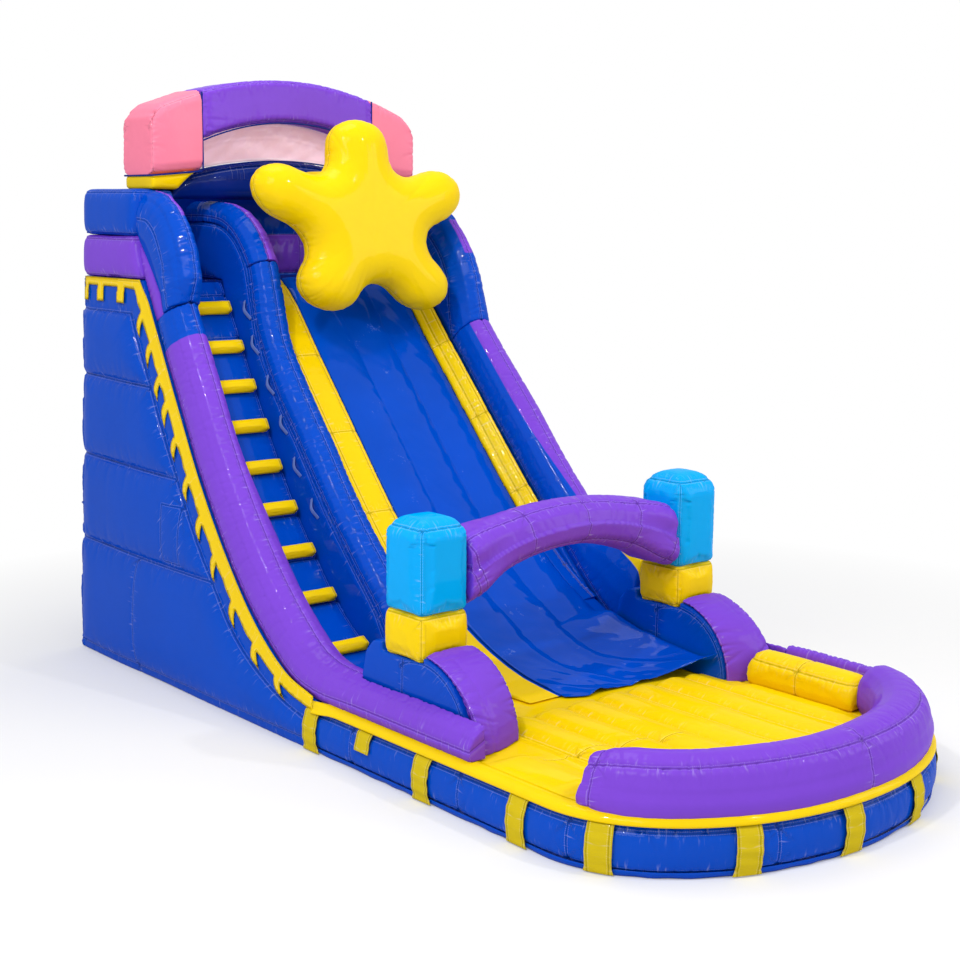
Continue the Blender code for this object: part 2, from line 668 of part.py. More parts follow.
def front_bumper():
    """The purple tube round the front, narrower where it runs back behind the bolster."""
    centre = []
    start = math.asin((BUMPER_LEFT_Y - STRAIGHT_FRONT_Y) / -FRONT_BULGE)
    for angle in np.linspace(math.pi + start, 2 * math.pi, 30):
        centre.append((HALF_WIDTH * math.cos(angle),
                       STRAIGHT_FRONT_Y + FRONT_BULGE * math.sin(angle)))
    centre += [(HALF_WIDTH, y) for y in (-2.76, -2.60, -2.25, RAIL_FRONT_Y - 0.035)]
    rim = np.array(centre)
    steps = np.gradient(rim, axis=0)
    steps /= np.linalg.norm(steps, axis=1)[:, None]
    inward = np.stack([-steps[:, 1], steps[:, 0]], axis=1)
    rings = []
    narrow = blend((rim[:, 1] + 3.14) / 0.16 * (rim[:, 0] > 1.8), 0.0, 1.0)
    for i, (x, y) in enumerate(rim):
        wide = BUMPER_WIDE + (SIDE_TUBE_WIDE - BUMPER_WIDE) * narrow[i]
        high = BUMPER_HIGH + (SIDE_TUBE_HIGH - BUMPER_HIGH) * narrow[i]
        share = {0: 0.80, 1: 0.95}.get(i, 1.0)
        edge = 0.03
        ring = []
        base = math.sin(math.radians(35))
        for angle in np.radians(np.linspace(-35, 215, 12)):
            across = edge + wide / 2 - wide / 2 * share * math.cos(angle)
            rise = (math.sin(angle) + base) / (1 + base) * share
            ring.append((x + inward[i][0] * across, y + inward[i][1] * across,
                         REST + high * rise))
        rings.append(ring)
    return loft("front_bumper", rings, purple())


def pillow_box(name, low, high, material, levels, squareness=0.24):
    """An upright inflated box: rounded square sections, drawn in where levels say so."""
    middle = ((low[0] + high[0]) / 2, (low[1] + high[1]) / 2)
    half = ((high[0] - low[0]) / 2, (high[1] - low[1]) / 2)
    rings = []
    for rise, scale in levels:
        ring = []
        for angle in np.radians(np.arange(0, 360, 22.5) + 11.25):
            c, s = math.cos(angle), math.sin(angle)
            ring.append((middle[0] + half[0] * scale * math.copysign(abs(c) ** squareness, c),
                         middle[1] + half[1] * scale * math.copysign(abs(s) ** squareness, s),
                         low[2] + (high[2] - low[2]) * rise))
        rings.append(ring)
    return loft(name, rings, material, lean=False)


def pillars():
    """A light blue box on a yellow box, either side of the pool entrance."""
    front, rear = PILLAR_FRONT_Y, PILLAR_FRONT_Y + 2 * PILLAR_HALF
    for label, side in (("left", -1), ("right", 1)):
        low_x, high_x = sorted((side * (PILLAR_X - PILLAR_HALF), side * (PILLAR_X + PILLAR_HALF)))
        pillow_box(f"{label}_pillar_base", (low_x, front, PILLAR_FOOT + GAP),
                   (high_x, rear, PILLAR_JOINT), yellow(),
                   ((0, 0.96), (0.12, 0.985), (0.5, 1.0), (0.88, 0.985), (1, 0.96)))
        pillow_box(f"{label}_pillar", (low_x, front, PILLAR_JOINT + GAP),
                   (high_x, rear, PILLAR_TOP), sky(),
                   ((0, 0.96), (0.05, 0.985), (0.3, 1.0), (0.80, 1.0), (0.88, 0.97),
                    (0.94, 0.88), (0.98, 0.70), (1.0, 0.35)))


def pillar_arch():
    """The purple tube between the two pillars, thicker towards its ends."""
    reach = PILLAR_X - PILLAR_HALF - 0.001
    middle_y = PILLAR_FRONT_Y + PILLAR_HALF
    ends_z, rise, half_deep = 1.61, 0.26, 0.22
    radius = (reach * reach + rise * rise) / (2 * rise)
    spread = math.asin(reach / radius)
    rings = []
    for angle in np.linspace(-spread, spread, 19):
        half_high = 0.19 + 0.07 * (angle / spread) ** 2
        ring = []
        for turn in np.radians(np.arange(0, 360, 30)):
            out = radius + half_high * math.sin(turn)
            x = out * math.sin(angle)
            z = out * math.cos(angle) + ends_z + rise - radius
            ring.append((x, middle_y + half_deep * math.cos(turn), z))
        rings.append(ring)
    for ring, side in ((rings[0], -1), (rings[-1], 1)):
        ring[:] = [(side * reach, y, z) for _, y, z in ring]
    return loft("pillar_arch", rings, purple(), lean=False)


def fender_arc(grown, angle):
    """A point on the fender's round front, moved out by grown, at an angle in degrees."""
    turn = math.radians(angle)
    return (FENDER_MIDDLE[0] + (FENDER_DEEP + grown) * math.cos(turn),
            REST + (FENDER_HIGH + grown) * math.sin(turn))


def fender(label, side):
    """The blue panel under a pillar and the purple tube that rolls down its front."""
    middle, half = side * PILLAR_X, PILLAR_HALF
    rear_of_base = PILLAR_FRONT_Y + 2 * PILLAR_HALF + 0.003
    front_of_base = PILLAR_FRONT_Y - 0.003
    panel = [(FENDER_LOBE[0][0], REST), *FENDER_LOBE[1:], (rear_of_base, 1.045),
             (rear_of_base, PILLAR_FOOT - 0.001), (front_of_base, PILLAR_FOOT - 0.001)]
    panel += [fender_arc(0.0, angle) for angle in np.linspace(93, 180, 12)]
    sides = sorted((middle - half + 0.015, middle + half - 0.015))
    body = prism(f"{label}_fender_panel", panel, *sides, blue(), lean=False)
    rings = []
    base, half = math.sin(math.radians(40)), half - 0.002
    for angle in np.linspace(180, 95, 12):
        low, high = np.array(fender_arc(0.001, angle)), np.array(fender_arc(0.055, angle))
        slant = 0.16 * max(0.0, (-math.cos(math.radians(angle)) - 0.2) / 0.8) ** 1.5
        ring = []
        for turn in np.radians(np.linspace(-40, 220, 12)):
            rise = (math.sin(turn) + base) / (1 + base)
            outward = 0.5 + 0.5 * side * math.cos(turn)
            y, z = low + (high - low) * rise
            ring.append((middle + half * math.cos(turn), y - slant * outward * rise ** 0.5, z))
        rings.append(ring)
    roll = loft(f"{label}_fender", rings, purple(), lean=False)
    return body, roll


def fender_clearance(label, side):
    """The room that a fender takes out of the inner half of its rail."""
    outline = [(y + 0.001, z) for y, z in FENDER_LOBE[:-1]]
    outline[:1] = [(outline[0][0], 0.30), (outline[0][0], REST)]
    outline += [(FENDER_LOBE[-1][0], 1.20), (RAIL_FRONT_Y - 0.2, 1.20), (RAIL_FRONT_Y - 0.2, 0.30)]
    sides = sorted((side * (PILLAR_X - PILLAR_HALF), side * (PILLAR_X + PILLAR_HALF + 0.001)))
    return prism(f"{label}_fender_room", outline, *sides, purple(), lean=False, helper=True)


def arc_height(crest, fall, x):
    """Height of a crown arc at x."""
    return crest - fall * x * x


def arc_block(name, x_from, x_to, low, high, y_from, y_to, material, steps, corner=0.06,
              ends=0.0):
    """A piece of the crown between two arcs, with rounded long edges."""
    rings = []
    xs = np.linspace(x_from, x_to, steps)
    for i, x in enumerate(xs):
        bottom, top = low(x), high(x)
        draw = ends if i in (0, len(xs) - 1) else 0.0
        front, rear = y_from + draw, y_to - draw
        bottom, top = bottom, top - draw
        c = min(corner, (rear - front) / 2.2, (top - bottom) / 2.2)
        mid_y, mid_z = (front + rear) / 2, (bottom + top) / 2
        rings.append([(x, front + c, bottom), (x, mid_y, bottom), (x, rear - c, bottom),
                      (x, rear - c * 0.3, bottom + c * 0.3), (x, rear, bottom + c),
                      (x, rear, mid_z), (x, rear, top - c), (x, rear - c * 0.3, top - c * 0.3),
                      (x, rear - c, top), (x, mid_y, top), (x, front + c, top),
                      (x, front + c * 0.3, top - c * 0.3), (x, front, top - c),
                      (x, front, mid_z), (x, front, bottom + c),
                      (x, front + c * 0.3, bottom + c * 0.3)])
    return loft(name, rings, material, lean=False)


def crown():
    """Purple arch, pink ends, pale panel, and the yellow and blue parts that carry them."""
    rear = CROWN_FRONT + CROWN_DEPTH
    mid = CROWN_FRONT + CROWN_DEPTH / 2

    def top(x):
        return arc_height(5.68, 0.14, x)

    def under_arch(x):
        return arc_height(5.27, 0.20, x)

    def foot(x):
        if abs(x) > CROWN_INNER:
            return 4.78 - 0.09 * (abs(x) - CROWN_INNER)
        return arc_height(4.90, 0.12, x)

    def lintel_top(x):
        if abs(x) > CROWN_INNER:
            return 4.776 - 2.95 * (abs(x) - CROWN_INNER) ** 2
        return foot(x) - 0.004

    arc_block("crown_arch", -CROWN_INNER + GAP, CROWN_INNER - GAP, under_arch, top, CROWN_FRONT,
              rear, purple(), 15)
    arc_block("crown_panel", -CROWN_INNER + GAP, CROWN_INNER - GAP,
              lambda x: foot(x) + SKIN_GAP, lambda x: under_arch(x) - SKIN_GAP,
              mid - 0.008, mid + 0.008, pale_pink(), 15, corner=0.003)
    for label, side in (("left", -1), ("right", 1)):
        arc_block(f"crown_block_{label}", side * CROWN_INNER, side * CROWN_OUTER,
                  lambda x: foot(x) + SKIN_GAP,
                  lambda x: top(x) - 2.2 * max(0.0, abs(x) - 1.42) ** 1.6, CROWN_FRONT, rear,
                  pink(), 9, corner=0.09)
        arc_block(f"crown_post_{label}", side * 1.06, side * (CROWN_OUTER - 0.01),
                  lambda x: max(lintel_top(x) + 0.004, WALL_TOP + GAP), foot,
                  CROWN_FRONT + 0.02, rear - 0.02, yellow(), 8, corner=0.04)
    arc_block("crown_lintel", -LINTEL_HALF + GAP, LINTEL_HALF - GAP, lambda x: LINTEL_LOW,
              lintel_top, mid - 0.15, mid + 0.15, navy(), 21, corner=0.10)


def star_reach(angle):
    """Distance from the starfish's middle to its edge: round tips, straight arms, round webs."""
    sector = 2 * math.pi / 5
    turn = abs((angle - math.pi / 2 + sector / 2) % sector - sector / 2)
    tip_middle = STAR_TIP - ARM_HALF
    web_middle = (ARM_HALF + ARM_WEB) / math.sin(sector / 2)
    if turn <= math.atan(ARM_HALF / tip_middle):
        beside = tip_middle * math.sin(turn)
        return tip_middle * math.cos(turn) + math.sqrt(ARM_HALF ** 2 - beside ** 2)
    if turn <= math.atan(ARM_HALF / (web_middle * math.cos(sector / 2))):
        return ARM_HALF / math.sin(turn)
    rest = sector / 2 - turn
    beside = web_middle * math.sin(rest)
    return web_middle * math.cos(rest) - math.sqrt(ARM_WEB ** 2 - beside ** 2)


def star():
    """A plain five-armed starfish, plump all over, with its sleeve back to the lintel."""
    middle = Vector(STAR_MIDDLE)
    tilt, thick, wider = math.radians(18), STAR_THICK, 1.12
    turns, shells = 60, 5
    form = bmesh.new()
    sides = []
    for face in (-1, 1):
        shell = [[form.verts.new((0, face * thick, 0))]]
        for k in range(1, shells):
            share = math.sin(math.pi / 2 * k / shells) ** 0.9
            depth = thick * (1 - share ** 3.2) ** 0.5
            loop = []
            for i in range(turns):
                angle = 2 * math.pi * i / turns
                r = star_reach(angle) * share
                loop.append(form.verts.new((wider * r * math.cos(angle), face * depth,
                                            r * math.sin(angle))))
            shell.append(loop)
        sides.append(shell)
    rim = []
    for i in range(turns):
        angle = 2 * math.pi * i / turns
        r = star_reach(angle)
        rim.append(form.verts.new((wider * r * math.cos(angle), 0, r * math.sin(angle))))
    for shell in sides:
        shell.append(rim)
        for i in range(turns):
            j = (i + 1) % turns
            form.faces.new((shell[0][0], shell[1][i], shell[1][j]))
            for k in range(1, shells):
                form.faces.new((shell[k][i], shell[k][j], shell[k + 1][j], shell[k + 1][i]))
    bmesh.ops.recalc_face_normals(form, faces=form.faces)
    mesh = bpy.data.meshes.new("star")
    form.to_mesh(mesh)
    form.free()
    mesh.transform(Matrix.Translation(middle) @ Matrix.Rotation(-tilt, 4, "X"))
    body = finish_object("star", mesh, yellow())
    rings = []
    for y in (2.40, CROWN_FRONT + CROWN_DEPTH / 2 - 0.15 - SKIN_GAP):
        rings.append([(middle.x + 0.10 * math.cos(a), y, 4.71 + 0.09 * math.sin(a))
                      for a in np.radians(np.arange(0, 360, 30))])
    sleeve = loft("star_sleeve_form", rings, yellow(), lean=False, helper=True)
    boolean(body, sleeve, "UNION")
    return body


def lanes():
    """Climbing lane with its steps, sliding lane with its strips and its cover sheet."""
    half = INNER_X - GAP
    under = offset_path(CLIMB, -BED_THICK)
    under[:, 1] = np.maximum(under[:, 1], REST)
    under[-1] = (CLIMB[-1][0], CLIMB[-1][1] - 0.24)
    under[0, 0] = CLIMB[0][0]
    under[:, 0] = np.minimum(under[:, 0], CLIMB[-1][0])
    ribbon("climb_bed", under, CLIMB, -half, DIVIDER_LEFT - GAP, blue())
    steps(half)
    lower = offset_path(SLIDE, -BED_THICK)
    lower[:, 1] = np.maximum(lower[:, 1], REST)
    lower[-1] = (SLIDE[-1][0], SLIDE[-1][1] - 0.26)
    lower[0, 0] = SLIDE[0][0]
    lower[:, 0] = np.minimum(lower[:, 0], SLIDE[-1][0])
    bed = ribbon("slide_bed", lower, SLIDE, DIVIDER_RIGHT + GAP, half, blue())
    notch = block("slide_bed_notch", (FENDER_LEFT - 0.002, SHEET_FRONT - 0.1, 0.30),
                  (half + 0.1, FENDER_REAR + 0.002, 1.30), blue(), helper=True)
    boolean(bed, notch, "DIFFERENCE")
    on_bed = offset_path(SLIDE, SKIN_GAP)
    level = ((0.97, 0.028), (0.8, 0.048), (0.5, 0.05), (0.2, 0.048), (0.03, 0.028))
    wedge = ((0.97, 0.150), (0.86, 0.172), (0.6, 0.140), (0.25, 0.078), (0.03, 0.035))
    padded_strip("slide_strip_left", on_bed, level, DIVIDER_RIGHT + GAP, SHEET_LEFT - GAP)
    padded_strip("slide_strip_right", on_bed, wedge, SHEET_RIGHT + GAP, half)
    cover_sheet(on_bed)


def padded_strip(name, on_bed, section, x_from, x_to):
    """A yellow padded strip along the slide, with its section as (share across, height)."""
    up = offset_path(SLIDE, 1.0) - SLIDE
    rings = []
    for (y, z), (up_y, up_z) in list(zip(on_bed, up))[STRIP_START:]:
        ring = [(x_from, y, z), (x_to, y, z)]
        for share, rise in section:
            ring.append((x_from + (x_to - x_from) * share, y + up_y * rise, z + up_z * rise))
        rings.append(ring)
    return loft(name, rings, yellow())


def cover_sheet(on_bed):
    """The blue cover sheet, wavy across, which laps up the right fender at its foot."""
    shares = np.linspace(0, 1, 17)
    up = np.vstack([[(0.0, 1.0)], offset_path(SLIDE, 1.0) - SLIDE])
    path = np.vstack([[(SHEET_FRONT, FLOOR_TOP + 0.004)], on_bed])
    rings = []
    for i, (y, z) in enumerate(path):
        lift = 0.026 * min(1.0, i / 4)
        right = SHEET_RIGHT if y > FENDER_REAR + 0.25 else FENDER_LEFT - 0.008
        edge_z = float(np.interp(y, (SHEET_FRONT, -0.73, -0.21), (0.72, 0.80, 0.85)))
        curl = float(blend((-0.05 - y) / 0.3, 0.0, 1.0)) * max(0.0, edge_z - z)
        lower, upper = [], []
        for share in shares:
            x = SHEET_LEFT + (right - SHEET_LEFT) * share
            front = float(np.interp(x, *zip(*SHEET_EDGE))) if i == 0 else y
            rise = lift * abs(math.sin(3 * math.pi * share)) ** 0.8
            rise += curl * max(0.0, (share - 0.84) / 0.16) ** 1.6
            lower.append((x, front + up[i][0] * rise, z + up[i][1] * rise))
            rise += 0.010
            upper.append((x, front + up[i][0] * rise, z + up[i][1] * rise))
        rings.append(lower + upper[::-1])
    return loft("slide_sheet", rings, blue())


def steps(half):
    """Nine padded blocks across the climbing lane, evenly spaced in height."""
    along = np.concatenate([[0], np.cumsum(np.linalg.norm(np.diff(CLIMB, axis=0), axis=1))])
    for i, height in enumerate(np.linspace(STEP_LOW, STEP_HIGH, STEP_COUNT)):
        s = np.interp(height, CLIMB[:, 1], along)
        ends = [np.array([np.interp(s + d, along, CLIMB[:, k]) for k in (0, 1)])
                for d in (-0.06, 0.06)]
        run = (ends[1] - ends[0]) / np.linalg.norm(ends[1] - ends[0])
        up = np.array([-run[1], run[0]])
        foot = [p + up * SKIN_GAP for p in ends]
        head = [p + up * STEP_RISE for p in ends]
        soft = 0.014
        outline = [foot[0], foot[1], head[1] - up * soft, head[1] - run * soft,
                   head[0] + run * soft, head[0] - up * soft]
        prism(f"step_{i + 1}", [tuple(p) for p in outline], -half + 0.02, STEP_RIGHT, yellow())


def divider():
    """The wall between the lanes, the tube along its top and the purple cap."""
    top = smooth_path(DIVIDER_TOP, 34)
    top[:, 0] = np.minimum(top[:, 0], BACK_WALL_FRONT - GAP)
    seat = offset_path(top, -DIVIDER_TUBE)
    seat[-1] = (BACK_WALL_FRONT - GAP, top[-1][1] - DIVIDER_TUBE)
    seat[0] = (top[0][0], REST + 0.02)
    below = offset_path(CLIMB, -BED_THICK)
    below[:, 1] = np.maximum(below[:, 1], REST)
    wall_top = offset_path(seat, -GAP)
    outline = [(top[0][0] + 0.02, REST)]
    outline += [(y, z) for y, z in below if y > 0.25 and y < PLATFORM_FRONT - 0.03]
    outline += [(PLATFORM_FRONT - GAP, below[-1][1]),
                (PLATFORM_FRONT - GAP, PLATFORM_TOP + GAP),
                (BACK_WALL_FRONT - GAP, PLATFORM_TOP + GAP)]
    outline += [(y, z) for y, z in reversed(wall_top) if z > REST + 0.05]
    prism("divider_wall", outline, DIVIDER_LEFT, DIVIDER_RIGHT, blue())
    middle = (DIVIDER_LEFT + DIVIDER_RIGHT) / 2
    half = (DIVIDER_RIGHT - DIVIDER_LEFT) / 2 - 0.001
    joint = int(np.argmin(np.abs(top[:, 1] - 4.02)))
    rings = [horseshoe(a, b, middle, half, steps=10, foot=20)
             for a, b in zip(seat[:joint + 1], top[:joint + 1])]
    loft("divider_tube", rings, blue())
    seat_cap, crest_cap = shift_start(seat[joint:], GAP * 2), shift_start(top[joint:], GAP * 2)
    rings = [horseshoe(a, b, middle, half, steps=10, foot=20)
             for a, b in zip(seat_cap, crest_cap)]
    loft("divider_cap", rings, purple())


def platform():
    half = INNER_X - GAP
    block("platform", (-half, PLATFORM_FRONT, PLATFORM_TOP - 0.28),
          (half, BACK_WALL_FRONT - GAP, PLATFORM_TOP), navy(), lean=True)


def side_bolster():
    """The yellow pad on the right, between the fender and the bumper."""
    right = HALF_WIDTH - 0.03 - SIDE_TUBE_WIDE - 0.012
    left, high = right - 0.34, 0.23
    rings = []
    for y, share in ((-2.88, 0.86), (-2.82, 1.0), (-2.4, 1.0), (-2.06, 1.0), (-2.00, 0.90)):
        ring = []
        for angle in np.radians(np.linspace(-25, 205, 10)):
            base = math.sin(math.radians(25))
            rise = (math.sin(angle) + base) / (1 + base)
            ring.append(((left + right) / 2 + (right - left) / 2 * share * math.cos(angle),
                         y, REST + 0.05 + high * share * rise))
        rings.append(ring)
    return loft("side_bolster", rings, yellow())


def inflation_sleeve():
    """The short fabric sleeve that a blower is tied into, lying behind the tower."""
    length, radius, wall = 0.30, 0.14, 0.010
    middle_z = 0.15
    rings = []
    profile = [(0.0, radius * 0.86), (0.06, radius), (length - 0.05, radius),
               (length, radius * 1.02)]
    outer = [(BACK_Y + GAP + d, r) for d, r in profile]
    inner = [(y, r - wall) for y, r in reversed(outer)]
    for y, r in outer + inner:
        floor = 0.004 if r > radius - wall / 2 else 0.014
        rings.append([(SLEEVE_X + r * math.cos(a), y, max(middle_z + r * math.sin(a), floor))
                      for a in np.radians(np.arange(0, 360, 22.5))])
    return loft("inflation_sleeve", rings, blue(), lean=False, close=True)


def anchor_rings():
    """Two steel D-rings, each held by a folded webbing tab at the foot of the back wall."""
    wire, straight, bow = 0.004, 0.030, 0.030
    for label, x in (("left", -RING_X), ("right", RING_X)):
        face = BACK_Y + GAP
        thick, loop = 0.0024, 0.0078
        bar_y = face + thick + loop - thick / 2
        path = [(face + thick / 2, RING_BAR_Z + 0.085), (face + thick / 2, RING_BAR_Z)]
        for angle in np.radians(np.arange(202.5, 360 + 91, 22.5)):
            path.append((bar_y + (loop) * math.cos(angle), RING_BAR_Z + loop * math.sin(angle)))
        path += [(face + thick * 1.5 + 0.0006, RING_BAR_Z + loop + 0.006),
                 (face + thick * 1.5 + 0.0006, RING_BAR_Z + 0.060)]
        path = np.array(path)
        ribbon(f"anchor_tab_{label}", offset_path(path, -thick / 2), offset_path(path, thick / 2),
               x - 0.024, x + 0.024, webbing(), lean=False)
        loop_path = [(-straight, 0.0), (straight, 0.0)]
        for angle in np.radians(np.linspace(0, -180, 11)):
            loop_path.append((straight * math.cos(angle), -0.012 + bow * math.sin(angle)))
        rings = []
        count = len(loop_path)
        for i, (dx, dz) in enumerate(loop_path):
            before = Vector(loop_path[i - 1])
            after = Vector(loop_path[(i + 1) % count])
            run = (after - before).normalized()
            side = Vector((run.y, -run.x))
            ring = []
            for angle in np.radians(np.arange(0, 360, 60)):
                across = wire * math.cos(angle)
                ring.append((x + dx + side.x * across, bar_y + wire * math.sin(angle),
                             RING_BAR_Z + dz + side.y * across))
            rings.append(ring)
        ring_object = loft(f"anchor_ring_{label}", rings, steel(), lean=False, close=True)
        move_origin(ring_object, Vector((x, bar_y, RING_BAR_Z)))


def move_origin(thing, point):
    """Move the object's origin to the point and leave its shape where it is."""
    thing.data.transform(Matrix.Translation(thing.location - point))
    thing.location = point


def deflation_zip():
    """The zip at the foot of the back wall, and the slider that opens it."""
    face = BACK_Y + GAP
    tape = [(face, ZIP_Z - 0.02), (face + 0.002, ZIP_Z - 0.02), (face + 0.002, ZIP_Z - 0.003),
            (face + 0.005, ZIP_Z - 0.003), (face + 0.005, ZIP_Z + 0.003),
            (face + 0.002, ZIP_Z + 0.003), (face + 0.002, ZIP_Z + 0.02), (face, ZIP_Z + 0.02)]
    prism("zip_tape", tape, -ZIP_HALF, ZIP_HALF, webbing(), lean=False)
    reach = ZIP_HALF - 0.02
    slot = [(face + 0.0024, ZIP_Z - 0.010), (face + 0.010, ZIP_Z - 0.010),
            (face + 0.010, ZIP_Z + 0.010), (face + 0.0024, ZIP_Z + 0.010),
            (face + 0.0024, ZIP_Z + 0.0036), (face + 0.0056, ZIP_Z + 0.0036),
            (face + 0.0056, ZIP_Z - 0.0036), (face + 0.0024, ZIP_Z - 0.0036)]
    slider = prism("zip_slider", slot, -reach - 0.012, -reach + 0.012, steel(), lean=False)
    pull = block("zip_pull_form", (-reach - 0.005, face + 0.009, ZIP_Z - 0.045),
                 (-reach + 0.005, face + 0.0115, ZIP_Z + 0.004), steel(), helper=True)
    boolean(slider, pull, "UNION")
    move_origin(slider, Vector((-reach, face, ZIP_Z)))


def main():
    clear_scene()
    pool_base()
    pool_floor()
    front_bumper()
    side_bolster()
    for label, profile in (("left", LEFT), ("right", RIGHT)):
        side_wall(f"{label}_wall", profile)
        trim(f"{label}_trim", profile)
        band(f"{label}_wall_purple_band", profile, TRIM_TOP, BAND_SEAM, purple())
        band(f"{label}_wall_blue_band", profile, BAND_SEAM, WALL_TOP, blue())
        boolean(rail(f"{label}_rail", profile), fender_clearance(label, profile.side),
                "DIFFERENCE")
        fender(label, profile.side)
    rail_shoulder("left_rail_shoulder", LEFT)
    tower_tube("left_tower_tube", LEFT, blue(), True)
    tower_tube("right_tower_tube", RIGHT, blue(), False)
    back_wall()
    platform()
    lanes()
    divider()
    crown()
    star()
    pillars()
    pillar_arch()
    inflation_sleeve()
    anchor_rings()
    deflation_zip()


main()
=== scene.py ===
"""Sewn vinyl skins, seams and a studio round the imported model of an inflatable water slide.

Metres, +Z up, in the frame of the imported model. Each inflated piece is a fine mesh made from its
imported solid, with the seams sewn into it and the fabric puckered along them.
"""

import json
import math

import bmesh
import bpy
import numpy as np
from bpy.props import FloatProperty, FloatVectorProperty, PointerProperty
from mathutils import Matrix, Vector
from mathutils.bvhtree import BVHTree
from mathutils.geometry import delaunay_2d_cdt


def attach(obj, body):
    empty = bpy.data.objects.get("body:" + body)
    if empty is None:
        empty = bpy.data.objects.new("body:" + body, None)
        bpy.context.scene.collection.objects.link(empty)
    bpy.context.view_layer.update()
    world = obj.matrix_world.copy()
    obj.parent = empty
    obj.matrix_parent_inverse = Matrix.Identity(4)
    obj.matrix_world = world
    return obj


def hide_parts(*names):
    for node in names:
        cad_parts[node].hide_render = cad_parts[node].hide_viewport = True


bl_info = {
    "name": "Inflatable Water Slide",
    "version": (1, 0, 0),
    "blender": (4, 5, 0),
    "location": "3D View > Sidebar > Water Slide",
    "description": "Dresses the packed model of an inflatable water slide in sewn vinyl",
    "category": "Object",
}

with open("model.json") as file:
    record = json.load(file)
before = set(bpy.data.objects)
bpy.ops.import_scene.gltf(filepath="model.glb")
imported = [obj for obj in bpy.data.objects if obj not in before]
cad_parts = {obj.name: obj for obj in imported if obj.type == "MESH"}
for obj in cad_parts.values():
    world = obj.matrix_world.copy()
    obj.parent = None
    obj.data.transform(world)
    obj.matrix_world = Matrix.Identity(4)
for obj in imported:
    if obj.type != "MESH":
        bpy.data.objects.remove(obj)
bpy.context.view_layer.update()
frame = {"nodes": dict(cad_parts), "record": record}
MAIN_BODY = "slide"

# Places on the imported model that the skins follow, in metres
LEAN = 0.0228  # the walls draw in by this share for each metre up
REST = 0.4253  # top of the base, on which the rest stands
HALF_WIDTH = 1.90
TUBE_X, TUBE = 1.675, 0.38  # middle and thickness of the tubes on top of the walls
BACK_Y = 4.152  # outer face of the back wall
SEAM_HEIGHTS = (1.152, 2.0, 2.797)  # seams between the chambers of a wall
TRIM_TOP, BAND_SEAM = 3.76, 4.16  # lower and upper edge of the purple band
FILM_Y = 3.377  # plane of the film in the crown
WALL_TOPS = {
    -1: [(-1.96, REST), (-0.60, REST), (0.0, REST), (0.45, 0.55), (0.95, 0.88), (1.45, 1.39),
         (1.90, 1.96), (2.33, 2.62), (2.75, 3.30), (3.03, TRIM_TOP)],
    1: [(-1.96, REST), (-0.80, REST), (-0.30, 0.44), (0.0, 0.62), (0.35, 0.97), (0.70, 1.34),
        (1.15, 1.82), (1.60, 2.33), (2.30, 3.12), (2.62, 3.48), (2.87, TRIM_TOP)]}
SHOULDERS = {
    -1: [(2.20, 3.30), (2.35, 3.76), (2.39, 3.98), (2.50, 4.20), (2.68, 4.42), (2.90, 4.56),
         (3.17, 4.60)],
    1: [(1.95, 3.20), (2.00, 3.66), (2.08, 3.92), (2.22, 4.16), (2.44, 4.40), (2.72, 4.56),
        (3.05, 4.60)]}
CLIMB_TOP = [(0.03, 0.47), (0.45, 0.57), (0.95, 0.88), (1.45, 1.39), (1.90, 1.96), (2.33, 2.62),
             (2.75, 3.30), (3.05, 3.74)]
SLIDE_TOP = [(-1.19, 0.440), (-0.70, 0.500), (-0.20, 0.66), (0.30, 0.92), (0.75, 1.27),
             (1.24, 1.77), (1.67, 2.26), (2.02, 2.66), (2.38, 3.07), (2.77, 3.53), (3.05, 3.74)]
DIVIDER_TOP = [(0.0, 0.60), (0.30, 1.05), (0.75, 1.50), (1.12, 1.88), (1.54, 2.38), (1.89, 2.78),
               (2.20, 3.22), (2.33, 3.60), (2.45, 3.98), (2.68, 4.27), (3.0, 4.45), (3.4, 4.50),
               (3.80, 4.50)]
DIVIDER_LEFT, DIVIDER_RIGHT = -0.93, -0.575
BULGE_Y, BULGE = -2.854, 1.298  # the base ends in half an ellipse from here, this far forward


def colour_property(name, about, default):
    return FloatVectorProperty(name=name, description=about, subtype="COLOR", size=3,
                               min=0.0, max=1.0, default=default)


class SlideColours(bpy.types.PropertyGroup):
    """Colours of the fabrics, as linear values."""

    blue: colour_property("Royal blue", "Walls, tubes and lanes", (0.0, 0.070, 0.55))
    navy: colour_property("Navy", "Shaded chambers behind the platform", (0.002, 0.02, 0.22))
    purple: colour_property("Purple", "Rails, bumper and arch", (0.205, 0.062, 0.65))
    yellow: colour_property("Yellow", "Floor, trims, steps and star", (1.0, 0.66, 0.002))
    pink: colour_property("Pink", "Ends of the crown", (1.0, 0.235, 0.36))
    film: colour_property("Pale pink", "Panel in the crown", (1.0, 0.66, 0.76))
    sky: colour_property("Light blue", "Pillars", (0.0, 0.40, 0.92))
    webbing: colour_property("Webbing", "Straps and zip tape", (0.02, 0.02, 0.022))


class SlideSewing(bpy.types.PropertyGroup):
    """How the fabric is sewn."""

    groove: FloatProperty(name="Seam depth", description="How far a seam pulls the skin in",
                          default=0.012, unit="LENGTH")
    groove_width: FloatProperty(name="Seam width", description="Half width of the pulled-in line",
                                default=0.018, unit="LENGTH")
    pitch: FloatProperty(name="Pucker spacing", description="Distance between two puckers",
                         default=0.060, unit="LENGTH")
    reach: FloatProperty(name="Pucker length", description="How far a pucker runs from its seam",
                         default=0.085, unit="LENGTH")
    rise: FloatProperty(name="Pucker depth", description="Depth of a pucker at its seam",
                        default=0.008, unit="LENGTH")


